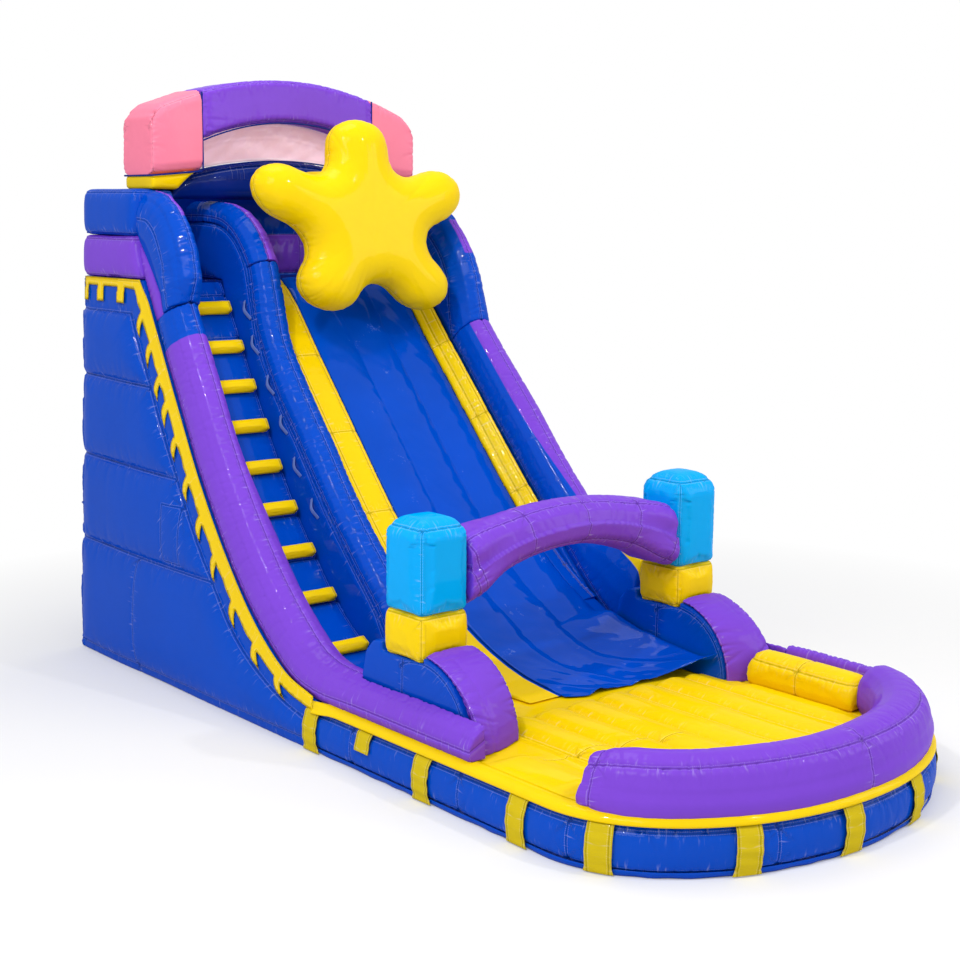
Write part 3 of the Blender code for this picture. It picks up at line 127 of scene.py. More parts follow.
class SlideStudio(bpy.types.PropertyGroup):
    """Camera, lamps and floor."""

    eye: FloatVectorProperty(name="Camera place", description="Where the camera stands",
                             default=(-9.118, -10.66, 4.452), subtype="TRANSLATION")
    yaw: FloatProperty(name="Yaw", description="Turn of the view to the right of +Y",
                       default=math.radians(40.198), subtype="ANGLE")
    pitch: FloatProperty(name="Pitch", description="Tilt of the view below the horizon",
                         default=math.radians(9.5736), subtype="ANGLE")
    roll: FloatProperty(name="Roll", description="Turn about the line of sight",
                        default=math.radians(0.5164), subtype="ANGLE")
    lens: FloatProperty(name="Lens", description="Focal length in millimetres on a 36 mm sensor",
                        default=60.5)
    key: FloatProperty(name="Key lamp", description="Power of the large soft lamp", default=460.0,
                       subtype="POWER")
    fill: FloatProperty(name="Fill lamp", description="Power of the lamp on the right",
                        default=260.0, subtype="POWER")
    sky_level: FloatProperty(name="Sky level", description="Strength of the even light",
                             default=0.62)


def colours():
    return bpy.context.scene.slide_colours


def sewing():
    return bpy.context.scene.slide_sewing


def studio():
    return bpy.context.scene.slide_studio


class Wire:
    """A shader socket that can be used in sums."""

    def __init__(self, shader, socket):
        self.shader, self.socket = shader, socket

    def maths(self, operation, other=None, clamp=False, swap=False):
        values = [self] if other is None else [self, other]
        if swap:
            values.reverse()
        made = self.shader.node("ShaderNodeMath", {"operation": operation, "use_clamp": clamp},
                                dict(enumerate(values)))
        return self.shader.out(made)

    def __add__(self, other):
        return self.maths("ADD", other)

    def __sub__(self, other):
        return self.maths("SUBTRACT", other)

    def __mul__(self, other):
        return self.maths("MULTIPLY", other)

    def __truediv__(self, other):
        return self.maths("DIVIDE", other)

    def __pow__(self, other):
        return self.maths("POWER", other)

    def __neg__(self):
        return self.maths("MULTIPLY", -1.0)

    def __radd__(self, other):
        return self.maths("ADD", other)

    def __rsub__(self, other):
        return self.maths("SUBTRACT", other, swap=True)

    def __rmul__(self, other):
        return self.maths("MULTIPLY", other)

    def __abs__(self):
        return self.maths("ABSOLUTE")

    def fall(self, width):
        """One at zero, dropping off smoothly to nothing within a few widths."""
        return self.shader.out(self.shader.node(
            "ShaderNodeMath", {"operation": "POWER"},
            {0: math.exp(-1.0), 1: (self / width) * (self / width)}))

    def clamp(self):
        return self.maths("MULTIPLY", 1.0, clamp=True)


class Shader:
    """Builds one Principled material, or adds to another node tree."""

    def __init__(self, name, tree=None):
        if tree is None:
            self.material = bpy.data.materials.new(name)
            self.material.use_nodes = True
            tree = self.material.node_tree
            self.surface = tree.nodes["Principled BSDF"]
        self.tree = tree

    def node(self, kind, settings=None, inputs=None):
        made = self.tree.nodes.new(kind)
        for key, value in (settings or {}).items():
            if key == "stops":
                self.set_stops(made.color_ramp, value)
            else:
                setattr(made, key, value)
        for key, value in (inputs or {}).items():
            self.feed(made.inputs[key], value)
        return made

    def set_stops(self, ramp, stops):
        for _ in range(len(stops) - len(ramp.elements)):
            ramp.elements.new(0.5)
        for element, (place, colour) in zip(ramp.elements, stops):
            element.position = place
            element.color = (*colour, 1.0)

    def feed(self, socket, value):
        if isinstance(value, Wire):
            self.tree.links.new(value.socket, socket)
        elif isinstance(value, bpy.types.NodeSocket):
            self.tree.links.new(value, socket)
        else:
            socket.default_value = value

    def out(self, node, name=0):
        return Wire(self, node.outputs[name])

    def attribute(self, name):
        return self.out(self.node("ShaderNodeAttribute", {"attribute_name": name}), "Fac")

    def seen(self):
        """One for a ray that shows the background: straight on, in a mirror or through glass."""
        path = self.node("ShaderNodeLightPath")
        camera, glossy, through = (self.out(path, f"Is {kind} Ray")
                                   for kind in ("Camera", "Glossy", "Transmission"))
        return camera.maths("MAXIMUM", glossy).maths("MAXIMUM", through)

    def place(self):
        return self.node("ShaderNodeTexCoord").outputs["Object"]

    def noise(self, scale, detail=3.0, vector=None, roughness=0.5):
        where = vector if vector is not None else self.place()
        return self.out(self.node("ShaderNodeTexNoise", {},
                                  {"Vector": where, "Scale": scale, "Detail": detail,
                                   "Roughness": roughness}), "Fac")

    def stretch(self, scale, turn):
        """Object coordinates, turned about Y and scaled."""
        return self.node("ShaderNodeMapping", {}, {"Vector": self.place(), "Scale": scale,
                                                   "Rotation": (0.0, turn, 0.0)}).outputs[0]

    def vector(self, x, y, z):
        return self.node("ShaderNodeCombineXYZ", {}, {0: x, 1: y, 2: z}).outputs[0]

    def mix(self, share, first, second):
        made = self.node("ShaderNodeMix", {"data_type": "RGBA"}, {0: share, 6: first, 7: second})
        return made.outputs[2]

    def set(self, **sockets):
        for key, value in sockets.items():
            self.feed(self.surface.inputs[key.replace("_", " ")], value)

    def bump(self, height, distance, strength=1.0):
        made = self.node("ShaderNodeBump", {}, {"Height": height, "Distance": distance,
                                                "Strength": strength})
        self.tree.links.new(made.outputs[0], self.surface.inputs["Normal"])


def curve(points, spacing=0.03):
    """Evenly spaced samples on a smooth curve through the points."""
    given = np.array(points, float)
    ends = np.vstack([2 * given[0] - given[1], given, 2 * given[-1] - given[-2]])
    share = np.linspace(0, 1, 16, endpoint=False)[:, None]
    parts = []
    for before, start, end, after in zip(ends, ends[1:], ends[2:], ends[3:]):
        parts.append(0.5 * (2 * start + (end - before) * share
                            + (2 * before - 5 * start + 4 * end - after) * share ** 2
                            + (3 * start - before - 3 * end + after) * share ** 3))
    dense = np.vstack([*parts, given[-1:]])
    run = lengths(dense)
    wanted = np.linspace(0, run[-1], max(4, int(run[-1] / spacing)))
    return np.stack([np.interp(wanted, run, dense[:, k]) for k in range(dense.shape[1])], axis=1)


def lengths(line):
    return np.concatenate([[0], np.cumsum(np.linalg.norm(np.diff(line, axis=0), axis=1))])


def ease(share, start=0.0, end=1.0):
    """A smooth change from start to end as share goes from 0 to 1."""
    share = np.clip(share, 0, 1)
    return start + (end - start) * share * share * (3 - 2 * share)


def wrap(value, period):
    """The value's distance from the nearest whole number of periods."""
    return (value + period / 2) % period - period / 2


class Guide:
    """A line in one plane that a tube or an edge follows."""

    def __init__(self, line, axes=(1, 2)):
        self.line, self.axes = np.asarray(line, float), list(axes)
        ahead = np.gradient(self.line, axis=0)
        self.ahead = ahead / np.linalg.norm(ahead, axis=1)[:, None]
        self.aside = np.stack([-self.ahead[:, 1], self.ahead[:, 0]], axis=1)
        self.run = lengths(self.line)

    def beside(self, distance):
        """The line moved to its left by the distance."""
        return self.line + self.aside * np.reshape(distance, (-1, 1))

    def left_at(self, runs):
        """The direction to the line's left, at these distances along it."""
        return np.stack([np.interp(runs, self.run, self.aside[:, k]) for k in (0, 1)], 1)

    def measure(self, points):
        """How far along the line each point lies, and how far to its left."""
        flat = points[:, self.axes]
        nearest = np.empty(len(flat), int)
        for start in range(0, len(flat), 20000):
            part = flat[start:start + 20000]
            gap = ((part[:, None, :] - self.line[None, :, :]) ** 2).sum(axis=2)
            nearest[start:start + 20000] = gap.argmin(axis=1)
        gap = flat - self.line[nearest]
        return (self.run[nearest] + (gap * self.ahead[nearest]).sum(axis=1),
                (gap * self.aside[nearest]).sum(axis=1))


def plan_outline(inset, spacing=0.04):
    """The base's outline in plan, from the left wall round the front to the right wall."""
    half = HALF_WIDTH - inset
    turn = np.linspace(math.pi, 2 * math.pi, 200)
    bow = np.stack([half * np.cos(turn), BULGE_Y + (BULGE - inset) * np.sin(turn)], axis=1)
    line = np.vstack([[(-half, 0.0)], bow, [(half, -0.30)]])
    run = lengths(line)
    wanted = np.linspace(0, run[-1], int(run[-1] / spacing))
    return np.stack([np.interp(wanted, run, line[:, k]) for k in (0, 1)], axis=1)


def leaned(points):
    """The points after the walls' inward lean."""
    moved = np.array(points, float)
    moved[..., 0] *= 1 - LEAN * moved[..., 2]
    return moved


def upright(x, z):
    """Sideways places without the walls' lean."""
    return x / (1 - LEAN * z)


def rgba(colour, share=1.0):
    return (*[min(1.0, c * share) for c in colour], 1.0)


def vinyl(name, colour, others=(), roughness=0.32, gloss=0.22):
    """Glossy coated fabric: sewn seams darkened with painted shade, puckers beside them with pale
    painted highlights, handling marks and a fine weave.

    The other colours take the places where the skin's panel layers are above zero.
    """
    found = bpy.data.materials.get(name)
    if found:
        return found
    shader = Shader(name)
    seam, beside, along = (shader.attribute(key) for key in ("seam", "beside", "along"))
    patch = shader.noise(1.3, 2.0)
    fine = shader.noise(11.0, 4.0)
    tone = ((patch - 0.5) * 0.6 + (fine - 0.5) * 0.3 + 0.5).clamp()
    plain = shader.mix(tone, rgba(colour, 0.88), rgba(colour, 1.08))
    for i, second in enumerate(others):
        other = shader.mix(tone, rgba(second, 0.88), rgba(second, 1.08))
        side = (shader.attribute(f"panel_{i + 1}") * 160.0 + 0.5).clamp()
        plain = shader.mix(side, plain, other)
    # Painted shade: a darker copy of the fabric colour along each seam, for the shade in its
    # groove.
    line = (seam.fall(0.0045) * beside).clamp()
    stitch = ((abs(seam) - 0.012).fall(0.0016) * beside
              * ((along * 520.0).maths("SINE") * 2.0 + 0.6).clamp())
    shaded = shader.mix(line * 0.55, plain, rgba(colour, 0.20))
    thread = shader.mix(0.75, rgba(colour), (0.85, 0.85, 0.88, 1.0))
    # Painted highlight: pale ticks across the seams where the puckers catch the light, mixed
    # towards a pale tint.
    creases = shader.noise(1.0, 2.0, vector=shader.vector(along * 38.0, seam * 7.0, 0.0))
    pucker_highlight = ((creases - 0.60) * 9.0).clamp() * beside * beside
    pale = shader.mix(0.40, plain, (0.92, 0.92, 1.0, 1.0))
    shader.set(Base_Color=shader.mix(pucker_highlight * 0.45, shader.mix(stitch * 0.35, shaded, thread), pale))
    scuffs = shader.noise(24.0, 5.0, roughness=0.65)
    shader.set(Roughness=(scuffs * 0.14 + patch * 0.12 + (roughness - 0.13)).clamp())
    shader.set(Coat_Weight=gloss, Coat_Roughness=0.06, Specular_IOR_Level=0.0)
    folds = shader.noise(1.0, 3.0, vector=shader.vector(along * 30.0, seam * 6.0, patch * 2.0))
    crinkle = shader.noise(4.5, 5.0, roughness=0.55)
    weave = shader.noise(420.0, 1.0)
    height = folds * beside * 0.9 + crinkle * 0.70 + weave * 0.008
    shader.bump(height, 0.014, 0.60)
    return shader.material


def film_material():
    """Thin, slightly see-through film with a paler hem, glowing faintly with painted light for the
    light that shines through it from behind.
    """
    shader = Shader("pale_film")
    c = colours()
    fold = shader.noise(1.0, 3.0, vector=shader.stretch((7.0, 7.0, 2.2), 0.6))
    hem = (shader.attribute("panel_1") * 60.0 + 0.5).clamp()
    plain = shader.mix(fold, rgba(c.film, 0.86), rgba(c.film, 1.12))
    shader.set(Base_Color=shader.mix(hem * 0.8, plain, (0.93, 0.80, 0.85, 1.0)))
    shader.set(Roughness=(fold * 0.2 + 0.28).clamp(), Coat_Weight=0.35, Coat_Roughness=0.12)
    # Painted light: the emission makes the film glow faintly, in place of light shining through it
    # from behind.
    shader.set(Alpha=0.92, Specular_IOR_Level=0.3, Emission_Color=(1.0, 0.60, 0.72, 1.0))
    shader.set(Emission_Strength=0.20)
    shader.bump(fold + shader.noise(9.0, 4.0) * 0.4, 0.03, 0.6)
    return shader.material


def sheet_material():
    """Loose coated cloth with pale seam lines, partly stitching and partly painted highlight, folds
    and scuffs.
    """
    shader = Shader("cover_sheet")
    c = colours()
    seam, along = shader.attribute("seam"), shader.attribute("along")
    patch = shader.noise(1.6, 3.0)
    plain = shader.mix(patch, rgba(c.blue, 0.85), rgba(c.blue, 1.15))
    # Pale lines along the seams: partly stitching, partly painted highlight where the seam ridges
    # catch the light.
    line = (seam.fall(0.0035) * ((along * 300.0).maths("SINE") * 0.4 + 0.8).clamp()).clamp()
    scuff = ((shader.noise(3.2, 6.0, roughness=0.75) - 0.62) * 9.0).clamp()
    scuff = scuff * ((shader.noise(26.0, 4.0, roughness=0.7) - 0.50) * 8.0).clamp()
    marked = shader.mix(scuff * 0.40, plain, (0.45, 0.60, 0.90, 1.0))
    shader.set(Base_Color=shader.mix(line * 0.45, marked, (0.55, 0.68, 0.95, 1.0)))
    shader.set(Roughness=(patch * 0.2 + 0.26 + scuff * 0.2).clamp(), Coat_Weight=0.24)
    shader.set(Coat_Roughness=0.06, Specular_IOR_Level=0.0)
    shader.bump(shader.noise(5.0, 5.0) * 0.7 + shader.noise(420.0, 1.0) * 0.01, 0.016, 0.55)
    return shader.material


def plain_material(name, colour, roughness, metallic=0.0, grain=180.0, depth=0.0006):
    found = bpy.data.materials.get(name)
    if found:
        return found
    shader = Shader(name)
    mark = shader.noise(grain, 3.0)
    shader.set(Base_Color=shader.mix(mark, rgba(colour, 0.82), rgba(colour, 1.12)))
    shader.set(Roughness=(mark * 0.25 + roughness - 0.12).clamp(), Metallic=metallic)
    shader.bump(mark, depth, 0.6)
    return shader.material


def finish_of(slot):
    """The material for one of the record's slots."""
    c = colours()
    if slot == "galvanised_steel":
        return plain_material("zinc_steel", (0.56, 0.57, 0.59), 0.36, 1.0, 60.0)
    if slot == "polyester_webbing":
        return plain_material("woven_webbing", c.webbing, 0.75, 0.0, 900.0, 0.0010)
    named = {"blue_vinyl": c.blue, "navy_vinyl": c.navy, "purple_vinyl": c.purple,
             "yellow_vinyl": c.yellow, "pink_vinyl": c.pink, "pale_pink_film": c.film,
             "light_blue_vinyl": c.sky}
    return vinyl("sewn_" + slot, named[slot])


def slot_of(node):
    for row in frame["record"]["subparts"]:
        if row["node"] == node:
            return row["material_slot"]
    raise KeyError(node)


def body_of(node):
    return next(name for name, members in frame["record"]["behaviour"]["bodies"].items()
                if node in members)


def packed_form(node):
    """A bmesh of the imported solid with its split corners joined."""
    form = bmesh.new()
    form.from_mesh(frame["nodes"][node].data)
    bmesh.ops.remove_doubles(form, verts=form.verts, dist=1e-5)
    return form


def drop_inside(form):
    """Delete the faces of a hollow that can't be seen from outside, and close its port."""
    tree = BVHTree.FromBMesh(form)
    turns = [Vector((x, y, z)).normalized() for x in (-1, 0, 1) for y in (-1, 0, 1)
             for z in (-1, 0, 1) if (x, y, z) != (0, 0, 0)]
    hidden = []
    for face in form.faces:
        start = face.calc_center_median() + face.normal * 0.002
        open_ways = [t for t in turns if t.dot(face.normal) > 0.2
                     and tree.ray_cast(start, t)[0] is None]
        if len(open_ways) < 2:
            hidden.append(face)
    bmesh.ops.delete(form, geom=hidden, context="FACES")
    bmesh.ops.holes_fill(form, edges=[e for e in form.edges if e.is_boundary], sides=0)
    bmesh.ops.recalc_face_normals(form, faces=form.faces)


class Skin:
    """The fine mesh of one piece, with its points at hand as an array."""

    def __init__(self, nodes, voxel=0.0, smoothing=0, hollow=False, mesh=None):
        self.nodes = [nodes] if isinstance(nodes, str) else list(nodes)
        if mesh is None:
            form = packed_form(self.nodes[0])
            if hollow:
                drop_inside(form)
            mesh = bpy.data.meshes.new(self.nodes[0] + "_form")
            form.to_mesh(mesh)
            form.free()
        name = self.nodes[0] + "_skin" if self.nodes else mesh.name
        self.thing = bpy.data.objects.new(name, mesh)
        bpy.context.scene.collection.objects.link(self.thing)
        if voxel:
            self.remesh(voxel)
        self.read()
        self.smooth(smoothing)
        self.near = np.full(len(self.points), 9.0)
        self.along = np.zeros(len(self.points))
        self.panels = []

    def remesh(self, voxel):
        modifier = self.thing.modifiers.new("skin", "REMESH")
        modifier.mode = "VOXEL"
        modifier.voxel_size = voxel
        graph = bpy.context.evaluated_depsgraph_get()
        fine = bpy.data.meshes.new_from_object(self.thing.evaluated_get(graph))
        self.thing.modifiers.clear()
        old = self.thing.data
        self.thing.data = fine
        fine.name = old.name + "_fine"
        bpy.data.meshes.remove(old)

    def read(self):
        mesh = self.thing.data
        count = len(mesh.vertices)
        points = np.empty(count * 3, np.float32)
        mesh.vertices.foreach_get("co", points)
        self.points = points.reshape(-1, 3).astype(float)
        ends = np.empty(len(mesh.edges) * 2, np.int32)
        mesh.edges.foreach_get("vertices", ends)
        self.ends = ends.reshape(-1, 2)
        self.measure()

    def measure(self):
        mesh = self.thing.data
        mesh.vertices.foreach_set("co", self.points.astype(np.float32).ravel())
        mesh.update()
        normals = np.empty(len(self.points) * 3, np.float32)
        mesh.vertex_normals.foreach_get("vector", normals)
        self.normals = normals.reshape(-1, 3).astype(float)

    def smooth(self, passes, strength=0.5):
        first, second = self.ends[:, 0], self.ends[:, 1]
        count = len(self.points)
        degree = np.bincount(first, minlength=count) + np.bincount(second, minlength=count)
        for _ in range(passes):
            total = np.zeros_like(self.points)
            for k in range(3):
                total[:, k] = (np.bincount(first, self.points[second, k], count)
                               + np.bincount(second, self.points[first, k], count))
            mean = total / np.maximum(degree, 1)[:, None]
            self.points += (mean - self.points) * strength
        self.measure()

    def push(self, distance):
        self.points += self.normals * np.asarray(distance)[:, None]
        self.measure()

    def sew(self, offset, along, seed, depth=1.0, reach=1.0, rise=1.0, mask=1.0, line=True):
        """Pull the skin in along the line where offset is zero, and pucker it on both sides."""
        s = sewing()
        away = np.abs(offset)
        shift = -depth * s.groove * np.exp(-(away / s.groove_width) ** 2)
        if rise:
            shift -= rise * s.rise * pucker_field(offset, along, s.pitch, s.reach * reach, seed)
        self.push(shift * mask)
        if line:
            nearer = (away < np.abs(self.near)) & (np.broadcast_to(mask, away.shape) > 0.5)
            self.near = np.where(nearer, offset, self.near)
            self.along = np.where(nearer, along, self.along)

    def puff(self, away, height, reach, mask=1.0):
        """Round a chamber outwards between the seams that bound it."""
        share = 1 - np.clip(np.asarray(away) / reach, 0, 1)
        self.push(height * np.sqrt(1 - share ** 2) * mask)

    def bend(self, axis, values):
        """Move the points along one axis to the values."""
        self.points[:, axis] = values
        self.measure()

    def swell(self, height, scale, seed):
        """Raise and lower the skin in slow, irregular waves."""
        wave = np.zeros(len(self.points))
        for i in range(5):
            turn = np.array([scatter(i * 3 + k, seed) - 0.5 for k in range(3)])
            turn /= np.linalg.norm(turn)
            pace = scale * (0.7 + 0.9 * scatter(i, seed + 5))
            wave += np.sin(self.points @ turn * pace + 6.28 * scatter(i, seed + 9))
        self.push(height * wave / 3)

    def inflate(self, frames, pressure, limit):
        """Run the cloth solver under pressure, and keep each point's move within the limit."""
        start = self.points.copy()
        scene = bpy.context.scene
        modifier = self.thing.modifiers.new("air", "CLOTH")
        cloth = modifier.settings
        cloth.use_pressure = True
        cloth.uniform_pressure_force = pressure
        cloth.effector_weights.gravity = 0.0
        cloth.quality = 6
        cloth.tension_stiffness = cloth.compression_stiffness = 25.0
        modifier.point_cache.frame_start = 1
        modifier.point_cache.frame_end = frames
        for at in range(1, frames + 1):
            scene.frame_set(at)
        graph = bpy.context.evaluated_depsgraph_get()
        blown = self.thing.evaluated_get(graph).data
        moved = np.empty(len(blown.vertices) * 3, np.float32)
        blown.vertices.foreach_get("co", moved)
        self.thing.modifiers.remove(modifier)
        scene.frame_set(1)
        step = moved.reshape(-1, 3).astype(float) - start
        size = np.linalg.norm(step, axis=1)
        self.points = start + step * np.minimum(1.0, limit / np.maximum(size, 1e-9))[:, None]
        self.measure()

    def store(self, name, values):
        layer = self.thing.data.attributes.new(name, "FLOAT", "POINT")
        layer.data.foreach_set("value", np.asarray(values, np.float32))

    def done(self, material=None, slot=None):
        """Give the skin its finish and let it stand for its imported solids."""
        self.measure()
        self.store("seam", np.clip(self.near, -0.5, 0.5))
        self.store("beside", np.exp(-(self.near / 0.075) ** 2))
        self.store("along", self.along)
        for i, values in enumerate(self.panels):
            self.store(f"panel_{i + 1}", np.clip(values, -0.5, 0.5))
        slot = slot or slot_of(self.nodes[0])
        self.thing.data.materials.clear()
        self.thing.data.materials.append(material or finish_of(slot))
        self.thing.data.shade_smooth()
        if self.nodes:
            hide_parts(*self.nodes)
        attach(self.thing, body_of(self.nodes[0]) if self.nodes else MAIN_BODY)
        return self.thing


def pucker_field(offset, along, pitch, reach, seed):
    """Creases that start at a seam and fade away from it, unlike on its two sides."""
    total = np.zeros(len(offset))
    away = np.abs(offset)
    for side in (-1, 1):
        cell = np.floor(along / pitch).astype(int)
        here = np.zeros(len(offset))
        for step in (-1, 0, 1):
            index = cell + step
            chance = scatter(index, seed * 2 + side)
            centre = (index + 0.5 + 0.55 * (chance - 0.5)) * pitch
            slant = 0.9 * (scatter(index, seed * 2 + side + 31) - 0.5)
            long = reach * (0.45 + 1.1 * scatter(index, seed * 2 + side + 57))
            wide = pitch * (0.13 + 0.10 * scatter(index, seed * 2 + side + 83))
            deep = 0.25 + 0.95 * scatter(index, seed * 2 + side + 101) ** 1.5
            line = (along - centre - slant * away) / (wide * (1 + 0.8 * away / long))
            here = np.maximum(here, deep * np.exp(-line ** 2) * np.exp(-(away / long) ** 1.4))
        total = np.where(np.sign(offset) * side >= 0, np.maximum(total, here), total)
    return total


def scatter(index, seed):
    """A fixed number from 0 to 1 for each whole number."""
    value = np.sin(np.asarray(index, float) * 12.9898 + seed * 78.233) * 43758.5453
    return value - np.floor(value)


SIDES = (("left", -1), ("right", 1))


def keep(nodes):
    """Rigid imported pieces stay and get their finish."""
    for node in nodes:
        thing = frame["nodes"][node]
        thing.data.materials.clear()
        thing.data.materials.append(finish_of(slot_of(node)))


def mesh_of(name, points, faces):
    mesh = bpy.data.meshes.new(name)
    mesh.from_pydata([tuple(p) for p in points], [], faces)
    mesh.update()
    return mesh


def layered(name, grid, thick):
    """A thin closed mesh with a grid of points as its outer face."""
    grid = np.asarray(grid, float)
    normal = np.cross(np.gradient(grid, axis=1), np.gradient(grid, axis=0))
    normal /= np.linalg.norm(normal, axis=2)[:, :, None]
    rows, columns = grid.shape[:2]
    points = np.concatenate([grid.reshape(-1, 3), (grid - normal * thick).reshape(-1, 3)])
    index = np.arange(rows * columns).reshape(rows, columns)
    under = index + rows * columns
    faces = []
    for i in range(rows - 1):
        for j in range(columns - 1):
            faces.append((index[i, j], index[i + 1, j], index[i + 1, j + 1], index[i, j + 1]))
            faces.append((under[i, j], under[i, j + 1], under[i + 1, j + 1], under[i + 1, j]))
    rim = [*index[0, :-1], *index[:-1, -1], *index[-1, :0:-1], *index[:0:-1, 0]]
    low = [i + rows * columns for i in rim]
    for i in range(len(rim)):
        j = (i + 1) % len(rim)
        faces.append((rim[i], rim[j], low[j], low[i]))
    return mesh_of(name, points, [[int(i) for i in face] for face in faces])


def edge_distance(points, rim):
    """How far each flat point lies from the closed rim."""
    run = np.roll(rim, -1, axis=0) - rim
    away = np.empty(len(points))
    for start in range(0, len(points), 4000):
        part = points[start:start + 4000, None, :] - rim[None]
        share = np.clip((part * run).sum(axis=2) / (run * run).sum(axis=1), 0, 1)
        away[start:start + 4000] = np.linalg.norm(part - run * share[..., None], axis=2).min(axis=1)
    return away


def filled(name, rim, spacing, place):
    """A closed skin over a flat outline; place turns (flat point, edge distance, face) into 3-D."""
    rim = np.asarray(rim, float)
    run = lengths(np.vstack([rim, rim[:1]]))
    wanted = np.linspace(0, run[-1], int(run[-1] / spacing * 1.3), endpoint=False)
    wanted = np.unique(np.concatenate([wanted, run[:-1]]).round(5))
    wanted = wanted[np.concatenate([[True], np.diff(wanted) > spacing * 0.2])]
    closed = np.vstack([rim, rim[:1]])
    rim = np.stack([np.interp(wanted, run, closed[:, k]) for k in (0, 1)], axis=1)
    low, high = rim.min(axis=0), rim.max(axis=0)
    ys = np.arange(low[0], high[0], spacing)
    zs = np.arange(low[1], high[1], spacing * 0.87)
    inner = np.array([(y + spacing / 2 * (i % 2), z) for i, z in enumerate(zs) for y in ys])
    inner = inner[edge_distance(inner, rim) > spacing * 0.45]
    given = [Vector(p) for p in (*rim, *inner)]
    found = delaunay_2d_cdt(given, [], [list(range(len(rim)))], 1, 1e-6)
    flat, triangles = np.array([tuple(v) for v in found[0]]), found[2]
    away = edge_distance(flat, rim)
    on_rim = away < 1e-5
    upper = np.arange(len(flat))
    lower = np.where(on_rim, upper, len(flat) + np.cumsum(~on_rim) - 1)
    points = list(place(flat, away, 1)) + list(place(flat[~on_rim], away[~on_rim], -1))
    faces = [[int(i) for i in t] for t in triangles]
    faces += [[int(lower[i]) for i in reversed(t)] for t in triangles]
    mesh = mesh_of(name, points, faces)
    form = bmesh.new()
    form.from_mesh(mesh)
    bmesh.ops.recalc_face_normals(form, faces=form.faces)
    form.to_mesh(mesh)
    form.free()
    return mesh


def rope(name, line, radius, slot, turns=8):
    """A thin round piping along a line of points."""
    line = np.asarray(line, float)
    ahead = np.gradient(line, axis=0)
    ahead /= np.linalg.norm(ahead, axis=1)[:, None]
    side = np.cross(ahead, (0.31, 0.87, 0.38))
    side /= np.linalg.norm(side, axis=1)[:, None]
    other = np.cross(ahead, side)
    angles = np.linspace(0, 2 * math.pi, turns, endpoint=False)
    points = np.array([[p + radius * (math.cos(a) * s + math.sin(a) * o) for a in angles]
                       for p, s, o in zip(line, side, other)]).reshape(-1, 3)
    faces = [[i * turns + j, i * turns + (j + 1) % turns, (i + 1) * turns + (j + 1) % turns,
              (i + 1) * turns + j] for i in range(len(line) - 1) for j in range(turns)]
    faces += [list(range(turns))[::-1], list(range((len(line) - 1) * turns, len(line) * turns))]
    return Skin([], mesh=mesh_of(name, points, faces)).done(slot=slot)


def quilt(skin, guide, off, seeds, crest=1.0, cross=0.52, foot=2.0):
    """Sew a tube along its crest, outside it and at its foot, and round it at equal steps."""
    s, up = guide.measure(skin.points)
    angle = np.arctan2(off, up)
    radius = np.hypot(off, up)
    skin.sew(angle * radius, s, seeds, depth=0.9, reach=1.15, rise=1.25 * crest)
    skin.sew((angle - 1.12) * radius, s, seeds + 1, depth=0.35, rise=0.8, line=False)
    skin.sew((np.abs(angle) - foot) * radius, s, seeds + 2, depth=0.5, reach=1.1, rise=1.0)
    skin.sew(wrap(s - 0.1, cross), angle * radius, seeds + 3, depth=0.20, reach=0.7, rise=0.30,
             mask=np.abs(angle) < 1.9, line=False)
    return s, angle, radius


class SlideOperator:
    """What every operator of this file shares."""

    bl_options = {"REGISTER"}

    def execute(self, context):
        self.make()
        return {"FINISHED"}


